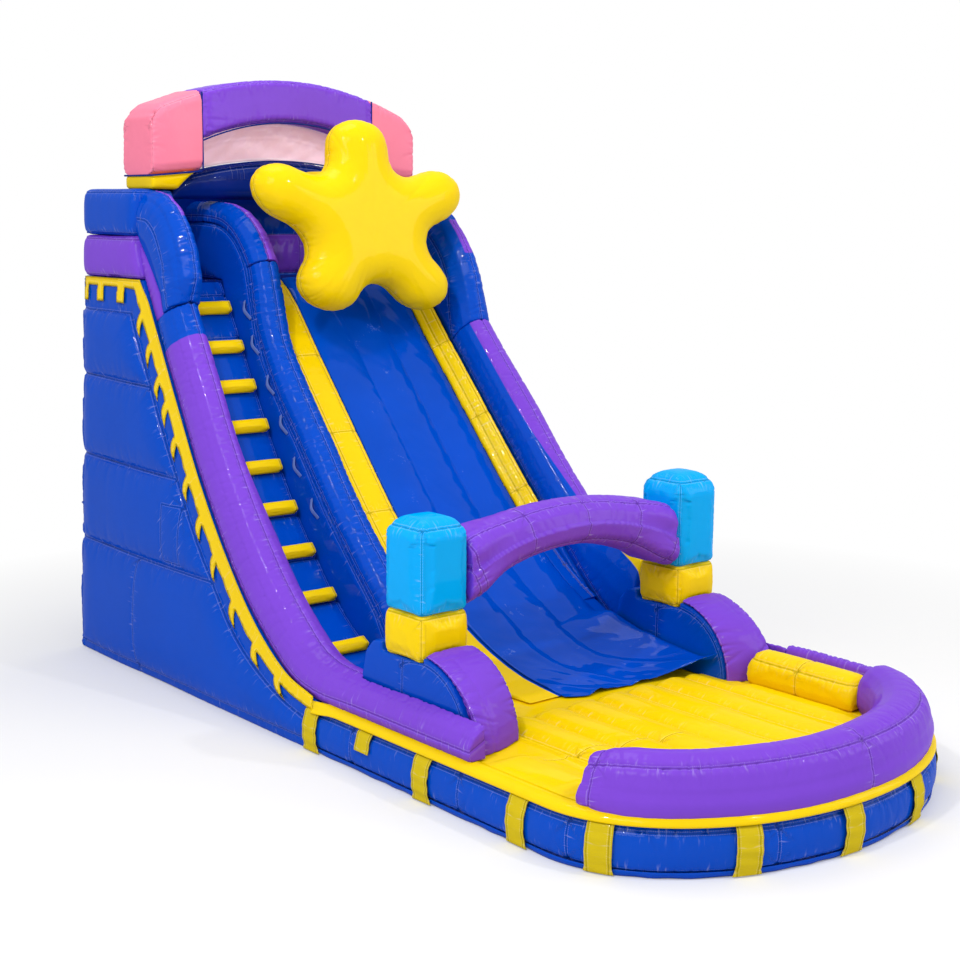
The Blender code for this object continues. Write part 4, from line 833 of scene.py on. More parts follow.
class SLIDE_OT_walls(SlideOperator, bpy.types.Operator):
    """Side walls with their sewn air chambers, and the two level chambers above them."""

    bl_idname = "slide.walls"
    bl_label = "Side walls"

    def make(self):
        for label, side in SIDES:
            self.wall(label, side)
            for kind, low, high in (("purple", TRIM_TOP, BAND_SEAM), ("blue", BAND_SEAM, 4.60)):
                self.band(f"{label}_wall_{kind}_band", low, high, side)

    def wall(self, label, side):
        skin = Skin(f"{label}_wall", 0.024, 4, hollow=True)
        skin.swell(0.004, 5.0, 3 + side)
        top = Guide(wall_edge(side))
        s, above = top.measure(skin.points)
        inside = -above - ease((s - 0.2) / 1.2, 0.20, 0.32)
        x, y, z = skin.points.T
        outer = np.abs(skin.normals[:, 0]) > 0.35
        sag = -0.03 * np.sin(np.clip((y - 0.5) / 3.6, 0, 1) * math.pi)
        levels = [z - height - sag for height in SEAM_HEIGHTS]
        bounds = [np.abs(level) for level in levels] + [inside, z - 0.09, BACK_Y - 0.05 - y]
        skin.puff(np.clip(np.min(bounds, axis=0), 0, None), 0.055, 0.26, outer)
        skin.puff(np.min(bounds[:3] + [z], axis=0), 0.030, 0.20, skin.normals[:, 1] > 0.7)
        chamber = (inside > 0.0) & outer
        for i, level in enumerate(levels):
            skin.sew(level, y, 11 + i, depth=1.2, reach=1.3, rise=1.2, mask=chamber)
        skin.sew(z - 0.09, y, 15, depth=0.5, reach=0.8, rise=0.9, mask=outer)
        skin.sew(inside, s, 17, depth=1.0, reach=1.5, rise=1.1, mask=outer)
        skin.sew(y - (BACK_Y - 0.05), z, 19, depth=0.4, reach=1.1, rise=0.8, mask=outer,
                 line=False)
        skin.sew(y - 2.93, z, 21, depth=0.5, reach=0.5, rise=0.4,
                 mask=outer & (z < SEAM_HEIGHTS[0] - 0.02))
        if side < 0:
            pocket = np.maximum(np.abs(y - 2.29) - 0.145, np.abs(z - 1.46) - 0.27)
            skin.sew(pocket, y + z, 23, depth=0.35, reach=0.5, rise=0.3, mask=outer & (x < -1.6))
        skin.done()

    def band(self, node, low, high, side):
        skin = Skin(node, 0.018, 8)
        skin.swell(0.004, 6.0, 7 + side)
        x, y, z = skin.points.T
        skin.puff(np.minimum(z - low, high - z), 0.028, 0.15, np.abs(skin.normals[:, 2]) < 0.6)
        face = np.abs(skin.normals[:, 2]) < 0.9
        around = np.where(np.abs(skin.normals[:, 0]) > 0.5, y, x)
        for edge, seed in ((low + 0.02, 25), (high - 0.03, 27)):
            skin.sew(z - edge, around, seed, depth=0.7, reach=0.7, rise=0.7, mask=face)
        skin.done()


def wall_edge(side):
    """The sloping top of a side wall and its level part to the back, as (y, z)."""
    start = next(i for i, (_, z) in enumerate(WALL_TOPS[side]) if z > REST + 0.001) - 1
    slope = curve(WALL_TOPS[side][start:])
    return np.vstack([slope, [(y, TRIM_TOP) for y in np.arange(slope[-1][0] + 0.05, BACK_Y, 0.05)]])


class SLIDE_OT_trims(SlideOperator, bpy.types.Operator):
    """Yellow edging of the side walls, with hooked tabs and level straps."""

    bl_idname = "slide.trims"
    bl_label = "Trims"

    width: FloatProperty(name="Width", description="Width of the edging", default=0.14,
                         unit="LENGTH")
    reach: FloatProperty(name="Tab reach", description="How far a tab runs down the wall",
                         default=0.27, unit="LENGTH")
    claw = ((0.115, 0.0), (0.095, 0.30), (0.07, 0.58), (0.035, 0.82), (0.0, 1.0), (0.05, 1.03),
            (0.11, 1.01), (0.15, 0.90), (0.18, 0.68), (0.203, 0.35), (0.215, 0.0))
    shares = (0.078, 0.163, 0.26, 0.362, 0.447, 0.534, 0.62, 0.695, 0.754, 0.827, 0.897)
    straps = ((3.33, 3.48), (3.75, 3.88), (4.06, 4.135))

    def make(self):
        for label, side in SIDES:
            rim = self.outline(side)

            def place(flat, away, face):
                soft = np.sqrt(np.clip(1 - (1 - away / 0.014).clip(0, 1) ** 2, 0, 1))
                depth = 0.0085 + face * 0.0045 * soft
                x = side * (HALF_WIDTH + 0.0005 + depth)
                return leaned(np.stack([x + 0 * flat[:, 0], flat[:, 0], flat[:, 1]], axis=1))

            skin = Skin(f"{label}_trim", mesh=filled(f"{label}_edging", rim, 0.028, place))
            top = Guide(wall_edge(side))
            s, above = top.measure(skin.points)
            outer = skin.normals[:, 0] * side > 0.3
            flat = skin.points[:, 1:]
            closed = np.asarray(rim, float)
            away = edge_distance(flat, closed)
            skin.sew(away - 0.018, s, 31, depth=0.12, reach=0.4, rise=0.16, mask=outer)
            wave = 0.004 * np.sin(s * 23.0 + 2.0 * np.sin(s * 7.0))
            skin.points[:, 0] += side * (wave + 0.004) * (above < -0.12)
            skin.done()

    def outline(self, side):
        """The edging's outline on the wall, as (y, z)."""
        slope = curve(WALL_TOPS[side][WALL_START[side]:])
        back = BACK_Y - 0.01
        top = np.vstack([slope, [(back, TRIM_TOP)]])
        along = lengths(top)
        guide = Guide(slope)
        aside = np.vstack([guide.aside, [(0.0, 1.0)]])
        long = along[-2]

        def inward(s, depth):
            point = np.array([np.interp(s, along, top[:, k]) for k in (0, 1)])
            normal = np.array([np.interp(s, along, aside[:, k]) for k in (0, 1)])
            y, z = point - normal * depth * float(ease(s / 1.4, 0.62, 1.0))
            return (min(y, back), z)

        edge = [(s, self.width) for s in along[:-1]]
        for share in self.shares:
            tip = share * long
            edge = [(s, d) for s, d in edge if not tip - 0.02 < s < tip + 0.235]
            place = len([s for s, _ in edge if s <= tip])
            edge[place:place] = [(tip + run, self.width + (self.reach - self.width) * down)
                                 for run, down in self.claw]
        low = [inward(s, depth) for s, depth in edge]
        level = TRIM_TOP - 0.085
        low = [(y, z) for y, z in low if y < self.straps[0][0] - 0.06 and z < level]
        for y_from, y_to in self.straps:
            low += [(y_from, level), (y_from, TRIM_TOP - 0.235), (y_to, TRIM_TOP - 0.235),
                    (y_to, level)]
        low[0] = (slope[0][0], low[0][1])
        high = slope + guide.aside * ease((along[-2] - along[:-1]) / 0.3, 0.0, 0.045)[:, None]
        high[:, 0] = np.maximum(high[:, 0], slope[0][0])
        return [(back, level), (back, TRIM_TOP - 0.004), *[tuple(p) for p in high[::-1]], *low]


WALL_START = {side: next(i for i, (_, z) in enumerate(line) if z > REST + 0.001) - 1
              for side, line in WALL_TOPS.items()}


class SLIDE_OT_rails(SlideOperator, bpy.types.Operator):
    """The purple tubes that top the side walls."""

    bl_idname = "slide.rails"
    bl_label = "Rails"

    def make(self):
        c = colours()
        for label, side in SIDES:
            skin = Skin(f"{label}_rail", 0.014, 3)
            line = curve(WALL_TOPS[side])
            guide = Guide(Guide(line).beside(0.19))
            s, up = guide.measure(skin.points)
            share = ((0.19 + up) / 0.38).clip(0, 1)
            y = skin.points[:, 1]
            if side < 0:
                lower = TUBE * share * (1 - ease((y + 0.3) / 1.05, 0.70, 1.0))
                skin.points[:, 1:] -= guide.left_at(s) * lower[:, None]
                skin.measure()
            else:
                crest = np.interp(y, *zip(*WALL_TOPS[1][:7])) + TUBE
                gain = (1.24 - crest).clip(0, 1) * ease((y + 0.90) / 0.25)
                front = TUBE * share * (1 - ease((y + 1.25) / 0.35, 0.70, 1.0))
                skin.bend(2, skin.points[:, 2] + gain * share - front)
            skin.swell(0.005, 6.0, 41 + side)
            off = side * upright(*skin.points.T[[0, 2]]) - TUBE_X
            if side < 0:
                slim = 0.25 * ease((skin.points[:, 2] - 1.5) / 0.9)
                skin.bend(0, skin.points[:, 0] + off.clip(-1, 0) * slim)
                off = off - off.clip(-1, 0) * slim
            s, angle, radius = quilt(skin, guide, off, 43 + 7 * side)
            if side < 0:
                joint = guide.run[np.argmin(np.abs(guide.line[:, 1] - 3.20))]
                skin.panels = [s - joint]
                material = vinyl("sewn_left_rail", c.purple, [c.blue])
            else:
                y = skin.points[:, 1]
                edge = -0.75 + ease((1.4 - y) / 1.0, 0.0, 0.45)
                skin.panels = [np.minimum(0.42 - y, y + 0.95), (edge - angle) * radius]
                material = vinyl("sewn_right_rail", c.purple, [c.yellow, c.blue])
            skin.done(material)


class SLIDE_OT_tower(SlideOperator, bpy.types.Operator):
    """The tubes that turn over the top of the rails, the back wall and the platform."""

    bl_idname = "slide.tower"
    bl_label = "Tower"

    def make(self):
        c = colours()
        for label, side in SIDES:
            skin = Skin(f"{label}_tower_tube", 0.014, 4)
            skin.swell(0.006, 7.0, 61 + side)
            guide = Guide(Guide(curve(SHOULDERS[side])).beside(-0.17))
            x, y, z = skin.points.T
            off = side * upright(x, z) - TUBE_X
            if side < 0:
                skin.bend(0, x + 0.25 * off.clip(-1, 0))
                off = off - 0.25 * off.clip(-1, 0)
                x, y, z = skin.points.T
            _, angle, radius = quilt(skin, guide, off, 63 + 9 * side, crest=1.3, cross=0.60)
            if side < 0:
                patch = np.minimum((-0.05 - angle) * radius, z - 4.36)
            else:
                patch = np.minimum(np.minimum((angle + 0.35) * radius, z - 4.0), 4.33 - z)
            skin.panels = [patch]
            skin.done(vinyl(f"sewn_{label}_tower", c.blue, [c.purple]))
        self.neck()
        self.back_wall()
        platform = Skin("platform", 0.018, 3)
        x, y, z = platform.points.T
        platform.sew(y - 3.12, x, 71, depth=0.6, mask=platform.normals[:, 2] > 0.5)
        platform.sew(wrap(x, 0.46), y, 73, depth=0.8, rise=0.6, mask=platform.normals[:, 2] > 0.5)
        platform.done()

    def neck(self):
        skin = Skin("left_rail_shoulder", 0.014, 4)
        guide = Guide(Guide(curve(WALL_TOPS[-1][-3:] + [(3.17, BAND_SEAM)])).beside(0.10))
        x, _, z = skin.points.T
        quilt(skin, guide, -upright(x, z) - TUBE_X, 75, cross=0.4)
        skin.done()

    def back_wall(self):
        c = colours()
        skin = Skin("back_wall", 0.026, 4, hollow=True)
        skin.swell(0.004, 5.0, 77)
        x, y, z = skin.points.T
        face = np.abs(skin.normals[:, 2]) < 0.8
        for i, height in enumerate((0.34, *SEAM_HEIGHTS, TRIM_TOP, BAND_SEAM)):
            skin.sew(z - height, x, 79 + i, depth=1.4, reach=1.3, rise=1.2, mask=face)
        heights = (0.05, 0.34, *SEAM_HEIGHTS, TRIM_TOP, BAND_SEAM, 4.6)
        skin.puff(np.min([np.abs(z - height) for height in heights], axis=0), 0.035, 0.22,
                  np.abs(skin.normals[:, 1]) > 0.6)
        skin.sew(wrap(x + 0.40, 0.95), z, 87, depth=0.7, reach=0.8, rise=0.5,
                 mask=face & (skin.normals[:, 1] < 0) & (z > TRIM_TOP))
        _, y, z = skin.points.T
        flat = ease((0.315 - z) / 0.04) * (y > BACK_Y - 0.02)  # where the rings and the zip sit
        skin.bend(1, y + flat * (BACK_Y - y))
        skin.panels = [np.minimum(z - TRIM_TOP, BAND_SEAM - z)]
        skin.done(vinyl("sewn_back_wall", c.blue, [c.purple]))


class SLIDE_OT_crown(SlideOperator, bpy.types.Operator):
    """The arched crown with its pale panel, pink ends and dark piping."""

    bl_idname = "slide.crown"
    bl_label = "Crown"

    front, rear = 3.09, 3.67
    inner, outer = 1.00, 1.55

    def top(self, x):
        return 5.68 - 0.14 * x * x

    def foot(self, x):
        return np.where(np.abs(x) > self.inner, 4.78 - 0.09 * (np.abs(x) - self.inner),
                        4.90 - 0.12 * x * x)

    def under_arch(self, x):
        return 5.27 - 0.20 * x * x

    def make(self):
        arch = Skin("crown_arch", 0.014, 4)
        arch.swell(0.005, 6.0, 91)
        x, y, z = arch.points.T
        for edge, seed in ((self.front, 93), (self.rear, 95)):
            away = np.abs(y - edge)
            for gap, i, rise in ((self.top(x) - z, 0, 1.3), (z - self.under_arch(x), 1, 0.8)):
                arch.sew(away - gap, x, seed + i, depth=0.6, reach=1.1, rise=rise,
                         mask=np.maximum(away, gap) < 0.17)
        arch.sew(np.abs(x) - self.inner + 0.05, z, 98, depth=0.4, reach=1.5, rise=1.2, line=False)
        arch.done()
        for label, side in SIDES:
            self.block(label, side)
            post = Skin(f"crown_post_{label}", 0.014, 3)
            post.done()
        lintel = Skin("crown_lintel", 0.014, 4)
        x, y, z = lintel.points.T
        lintel.sew(y - 3.26, x, 109, depth=0.6, reach=1.1, rise=1.2, mask=z > 4.7)
        lintel.done()
        self.film()
        self.piping()

    def block(self, label, side):
        skin = Skin(f"crown_block_{label}", 0.013, 4)
        skin.swell(0.005, 7.0, 99 + side)
        x, y, z = skin.points.T
        top = self.top(x) - 2.2 * np.maximum(0.0, np.abs(x) - 1.42) ** 1.6
        end = self.outer - np.abs(x)
        for edge, seed in ((self.front, 101), (self.rear, 103)):
            away = np.abs(y - edge)
            corner = np.minimum(away, end) < 0.05
            skin.sew(away - end, z, seed, depth=0.7, reach=0.9, rise=1.3,
                     mask=corner & (np.maximum(away, end) < 0.16))
            skin.sew(away - (top - z), x, seed + 1, depth=0.6, reach=1.2, rise=1.0,
                     mask=(np.minimum(away, top - z) < 0.07) & (np.maximum(away, top - z) < 0.16))
        skin.done()

    def film(self):
        xs = np.linspace(-self.inner + 0.002, self.inner - 0.002, 90)
        rows = []
        for share in np.linspace(0, 1, 22):
            z = self.foot(xs * 0.999) * (1 - share) + self.under_arch(xs) * share
            z += 0.002 * (1 - 2 * share)
            pull = 0.006 * np.sin(xs * 9.0 + share * 7.0) + 0.004 * np.sin(xs * 23 - share * 12)
            edge = math.sin(math.pi * share) ** 0.5
            rows.append(np.stack([xs, FILM_Y + pull * edge, z], axis=1))
        skin = Skin("crown_panel", mesh=layered("crown_film", rows, 0.004))
        x, _, z = skin.points.T
        rim = np.minimum(z - self.foot(x * 0.999), self.under_arch(x) - z)
        rim = np.minimum(rim, self.inner - np.abs(x))
        skin.panels = [0.03 - rim]
        skin.done(film_material())

    def piping(self):
        xs = np.linspace(-self.inner, self.inner, 60)
        y = self.front + 0.012
        for name, height in (("arch_piping", self.under_arch), ("panel_piping", self.foot)):
            line = np.stack([xs, 0 * xs + (y if name == "arch_piping" else 3.24),
                             height(xs * 0.999) - 0.006], axis=1)
            rope(name, line, 0.008, "navy_vinyl")
        for label, side in SIDES:
            zs = np.linspace(self.foot(1.01), self.top(1.0) - 0.02, 30)
            rope(f"{label}_joint_piping", np.stack([0 * zs + side * self.inner, 0 * zs + y, zs],
                                                   axis=1), 0.009, "navy_vinyl")
            xs = np.linspace(1.01, 1.54, 30)
            front = np.stack([side * xs, 0 * xs + y, self.foot(xs) - 0.004], axis=1)
            ys = np.linspace(y + 0.01, self.rear - 0.02, 24)
            back = np.stack([0 * ys + side * 1.545, ys, 0 * ys + self.foot(1.54) - 0.004], axis=1)
            rope(f"{label}_block_piping", np.vstack([front, back]), 0.009, "navy_vinyl")


class SLIDE_OT_star(SlideOperator, bpy.types.Operator):
    """The plump yellow star that hangs over the sliding lane."""

    bl_idname = "slide.star"
    bl_label = "Star"

    tip: FloatProperty(name="Arm length", description="From the middle to an arm's tip",
                       default=1.06, unit="LENGTH")
    arm: FloatProperty(name="Arm half width", description="Half the width of an arm",
                       default=0.28, unit="LENGTH")
    web: FloatProperty(name="Web radius", description="Radius between two arms", default=0.20,
                       unit="LENGTH")
    thick: FloatProperty(name="Half thickness", description="Half the thickness of the star",
                         default=0.25, unit="LENGTH")
    middle = Vector((0.25, 2.25, 4.29))
    tilt = math.radians(7)

    def reach(self, angle):
        sector = 2 * math.pi / 5
        turn = abs((angle - math.pi / 2 + sector / 2) % sector - sector / 2)
        tip_middle = self.tip - self.arm
        web_middle = (self.arm + self.web) / math.sin(sector / 2)
        if turn <= math.atan(self.arm / tip_middle):
            beside = tip_middle * math.sin(turn)
            return tip_middle * math.cos(turn) + math.sqrt(self.arm ** 2 - beside ** 2)
        if turn <= math.atan(self.arm / (web_middle * math.cos(sector / 2))):
            return self.arm / math.sin(turn)
        rest = sector / 2 - turn
        beside = web_middle * math.sin(rest)
        return web_middle * math.cos(rest) - math.sqrt(self.web ** 2 - beside ** 2)

    def make(self):
        angles = np.linspace(0, 2 * math.pi, 240, endpoint=False)
        rim = [(self.reach(a) * math.cos(a), self.reach(a) * math.sin(a)) for a in angles]
        turn = np.array(Matrix.Rotation(-self.tilt, 3, "X"))

        def place(flat, away, face):
            x, z = flat.T
            inside = 1 - (away / (self.arm + 0.02)).clip(0, 1)
            depth = face * self.thick * np.sqrt(1 - inside ** 2)
            lift = np.where(x > 0, 0.075, 0.14) * (x / self.tip) ** 2 * ease((z + 0.45) / 0.45)
            lift += 0.05 * np.maximum(0, -x) * np.maximum(0, -z)
            local = np.stack([1.19 * x + 0.15 * np.maximum(0, -z), depth, 0.95 * z + lift], axis=1)
            return local @ turn.T + np.array(self.middle)

        mesh = filled("starfish", rim, 0.04, place)
        form = bmesh.new()
        form.from_mesh(mesh)
        sleeve = bmesh.ops.create_cone(form, cap_ends=True, segments=40, radius1=0.10,
                                       radius2=0.10, depth=0.80)
        bmesh.ops.rotate(form, verts=sleeve["verts"], cent=(0, 0, 0),
                         matrix=Matrix.Rotation(math.pi / 2, 3, "X"))
        bmesh.ops.translate(form, verts=sleeve["verts"], vec=(self.middle.x, 2.822, 4.70))
        form.to_mesh(mesh)
        form.free()
        skin = Skin("star", 0.018, 46, mesh=mesh)
        skin.push(np.full(len(skin.points), 0.010))
        skin.swell(0.004, 4.0, 111)
        local = (skin.points - np.array(self.middle)) @ turn
        around = np.arctan2(local[:, 2], local[:, 0]) * 0.9
        body = skin.points[:, 1] < 2.62
        skin.sew(local[:, 1], around, 113, depth=0.5, reach=2.2, rise=1.1, mask=body)
        skin.done()


class SLIDE_OT_divider(SlideOperator, bpy.types.Operator):
    """The wall between the lanes, its tube and cap, and the webbing loops on its side."""

    bl_idname = "slide.divider"
    bl_label = "Divider"

    loops = ((2.57, 3.47), (2.43, 3.15), (2.16, 2.79), (1.93, 2.44), (1.70, 2.07), (1.41, 1.72))

    def make(self):
        c = colours()
        middle = (DIVIDER_LEFT + DIVIDER_RIGHT) / 2
        guide = Guide(Guide(curve(DIVIDER_TOP)).beside(-0.11))
        wall = Skin("divider_wall", 0.024, 3)
        s, above = guide.measure(wall.points)
        wall.sew(wrap(above + 0.12, 0.50), s, 121, depth=0.8, rise=0.9,
                 mask=(np.abs(wall.normals[:, 0]) > 0.4) & (above > -1.4))
        wall.done()
        for node, seed in (("divider_tube", 123), ("divider_cap", 131)):
            skin = Skin(node, 0.012, 3)
            skin.swell(0.005, 7.0, seed)
            x, y, z = skin.points.T
            off = upright(x, z) - middle
            s, angle, radius = quilt(skin, guide, off, seed + 1, crest=1.25, cross=0.60, foot=1.8)
            material = None
            if node == "divider_cap":
                skin.panels = [(-0.15 - angle) * radius]
                material = vinyl("sewn_cap", c.purple, [c.blue])
            skin.done(material)
        for i, (y, z) in enumerate(self.loops):
            self.loop(f"grab_loop_{i + 1}", y, z)

    def loop(self, name, y, z):
        """A short strap sewn flat at both ends and standing off the wall between them."""
        rows = []
        for share in np.linspace(0, 1, 25):
            stand = 0.035 * math.sin(math.pi * share) ** 1.5
            along = (share - 0.5) * 0.20
            centre = np.array([DIVIDER_LEFT * (1 - LEAN * z) - 0.006 - stand,
                               y + along * 0.55, z + along * 0.83])
            across = np.array([0.0, -0.83, 0.55]) * 0.022
            rows.append([centre + across * t for t in (-1, -0.5, 0, 0.5, 1)])
        Skin([], mesh=layered(name, rows, 0.0025)).done(vinyl("sewn_loop", (0.16, 0.25, 0.62)),
                                                        slot="blue_vinyl")


class SLIDE_OT_climbing_lane(SlideOperator, bpy.types.Operator):
    """The bed of the climbing lane and its nine padded steps."""

    bl_idname = "slide.climbing_lane"
    bl_label = "Climbing lane"

    def make(self):
        bed = Skin("climb_bed", 0.016, 3)
        bed.swell(0.004, 6.0, 141)
        guide = Guide(curve(CLIMB_TOP))
        s, above = guide.measure(bed.points)
        x, _, z = bed.points.T
        upper = above > -0.06
        bed.sew(wrap(s - 0.18, 0.47), x, 143, depth=1.2, rise=0.9, mask=upper)
        bed.sew(upright(x, z) + 0.958, s, 145, depth=0.7, rise=0.6, mask=upper)
        bed.done()
        for i in range(9):
            self.step(f"step_{i + 1}", i)

    def step(self, node, i):
        skin = Skin(node, 0.008, 3)
        skin.inflate(frames=14, pressure=3.0, limit=0.007)
        x, y, z = skin.points.T
        low, high = skin.points.min(axis=0), skin.points.max(axis=0)
        skin.bend(0, x - 0.08 * (high[0] - x) / (high[0] - low[0]))
        x, low[0] = skin.points[:, 0], skin.points[:, 0].min()
        seam = np.minimum(x - low[0], high[0] - x) - 0.028
        skin.sew(seam, y + z, 151 + i, depth=0.25, reach=0.4, rise=0.35)
        skin.done()


class SLIDE_OT_sliding_lane(SlideOperator, bpy.types.Operator):
    """The bed of the sliding lane, its two padded strips and its loose cover sheet."""

    bl_idname = "slide.sliding_lane"
    bl_label = "Sliding lane"

    left, right = -0.21, 1.27
    front_edge = ((-0.21, -1.24), (-0.03, -1.33), (0.15, -1.31), (0.35, -1.32), (0.63, -1.35),
                  (0.77, -1.38), (0.95, -1.43), (1.12, -1.58), (1.18, -1.73))
    right_edge = ((-1.76, 0.69), (-1.53, 0.60), (-1.23, 0.615), (-0.75, 0.666), (-0.21, 0.83))

    def make(self):
        bed = Skin("slide_bed", 0.022, 3)
        x, y, _ = bed.points.T
        bed.panels = [np.minimum(self.left - 0.02 - x, 0.10 - y)]
        bed.done(vinyl("sewn_bed", colours().blue, [colours().yellow]))
        guide = Guide(curve(SLIDE_TOP))
        for node, seed in (("slide_strip_left", 161), ("slide_strip_right", 163)):
            skin = Skin(node, 0.010, 4)
            s, above = guide.measure(skin.points)
            if "right" in node:
                flat = 0.85 * ease((0.80 - skin.points[:, 1]) / 0.10) * above.clip(0, 1)
                skin.points[:, 1:] -= guide.left_at(s) * flat[:, None]
                skin.measure()
                s, above = guide.measure(skin.points)
            x = upright(*skin.points.T[[0, 2]])
            low, high = x.min(), x.max()
            skin.sew(np.minimum(x - low, high - x) - 0.05, s, seed, depth=0.5, reach=0.7,
                     rise=0.6, mask=above > 0.02)
            skin.sew(wrap(s, 0.9), x, seed + 1, depth=0.4, rise=0.4, mask=above > 0.02)
            skin.panels = [0.70 - skin.points[:, 1] if "right" in node else s * 0 - 1]
            finish = vinyl("sewn_strip", colours().yellow, [colours().blue])
            skin.done(finish)
        self.sheet()

    def sheet(self):
        path = curve([(-1.44, 0.431), *[(y, z + 0.001) for y, z in SLIDE_TOP]], 0.028)
        aside = Guide(path).aside
        run = lengths(path)
        shares = np.linspace(0, 1, 76)
        rows = []
        for (y, z), up, s in zip(path, aside, run):
            if y > 3.045:
                continue
            right = 1.262 if y > -0.16 else 1.178
            x = self.left + (right - self.left) * shares
            lift = 0.034 * min(1.0, s / 1.6)
            rise = 0.016 + lift * np.abs(np.sin(3 * math.pi * shares)) ** 0.7
            front = np.interp(x, *zip(*self.front_edge))
            start = np.where(s < 0.45, (front + 1.44) * (1 - s / 0.45), 0.0)
            edge_z = np.interp(y + start, *zip(*self.right_edge))
            curl = float(ease((-0.05 - y) / 0.3)) * np.maximum(0.0, edge_z - z)
            rise += curl * np.maximum(0.0, (shares - 0.55) / 0.45) ** 1.9
            rise += self.wrinkle(x, s)
            rows.append(leaned(np.stack([x, y + start + up[0] * rise, z + up[1] * rise], axis=1)))
        mesh = layered("sheet_cloth", rows, 0.003)
        skin = Skin("slide_sheet", mesh=mesh)
        skin.smooth(1)
        s, _ = Guide(curve(SLIDE_TOP)).measure(skin.points)
        x = upright(*skin.points.T[[0, 2]])
        over = skin.normals[:, 2] > 0.0
        right = np.where(skin.points[:, 1] > -0.16, 1.262, 1.178)
        for place, seed in ((0.05, 171), (0.085, 172), (0.12, 173)):
            skin.sew(right - x - place, s, seed, depth=0.12, reach=0.5, rise=0.18, mask=over)
        skin.sew(x - self.left - 0.05, s, 175, depth=0.15, reach=0.5, rise=0.25, mask=over)
        skin.sew(skin.points[:, 1] + 1.36, x, 177, depth=0.15, reach=1.4, rise=0.8, mask=over)
        cloth = skin.done(sheet_material())

    def wrinkle(self, x, s):
        """Long soft folds down the slide, and shorter ones across its foot."""
        low = math.exp(-(s / 1.7) ** 2)
        long = np.sin(x * 9.0 + 1.3 * math.sin(s * 0.9)) * np.sin(x * 4.1 + s * 0.35)
        drift = x + 0.55 * s * low
        folds = np.maximum(0.0, np.sin(drift * 13.0 + 1.2 * math.sin(s * 2.1))) ** 3
        short = np.sin(s * 11.0 + x * 3.0 + 2.0 * np.sin(x * 5.0)) * math.exp(-(s / 0.6) ** 2)
        fine = np.sin(s * 27.0 + 4.0 * np.sin(x * 7.0 + s)) * np.sin(x * 19.0 + s * 3.0)
        inner = np.clip((x - self.left) / 0.1, 0, 1)
        return (0.007 * long + 0.022 * folds * low + 0.008 * short + 0.0025 * fine) * inner


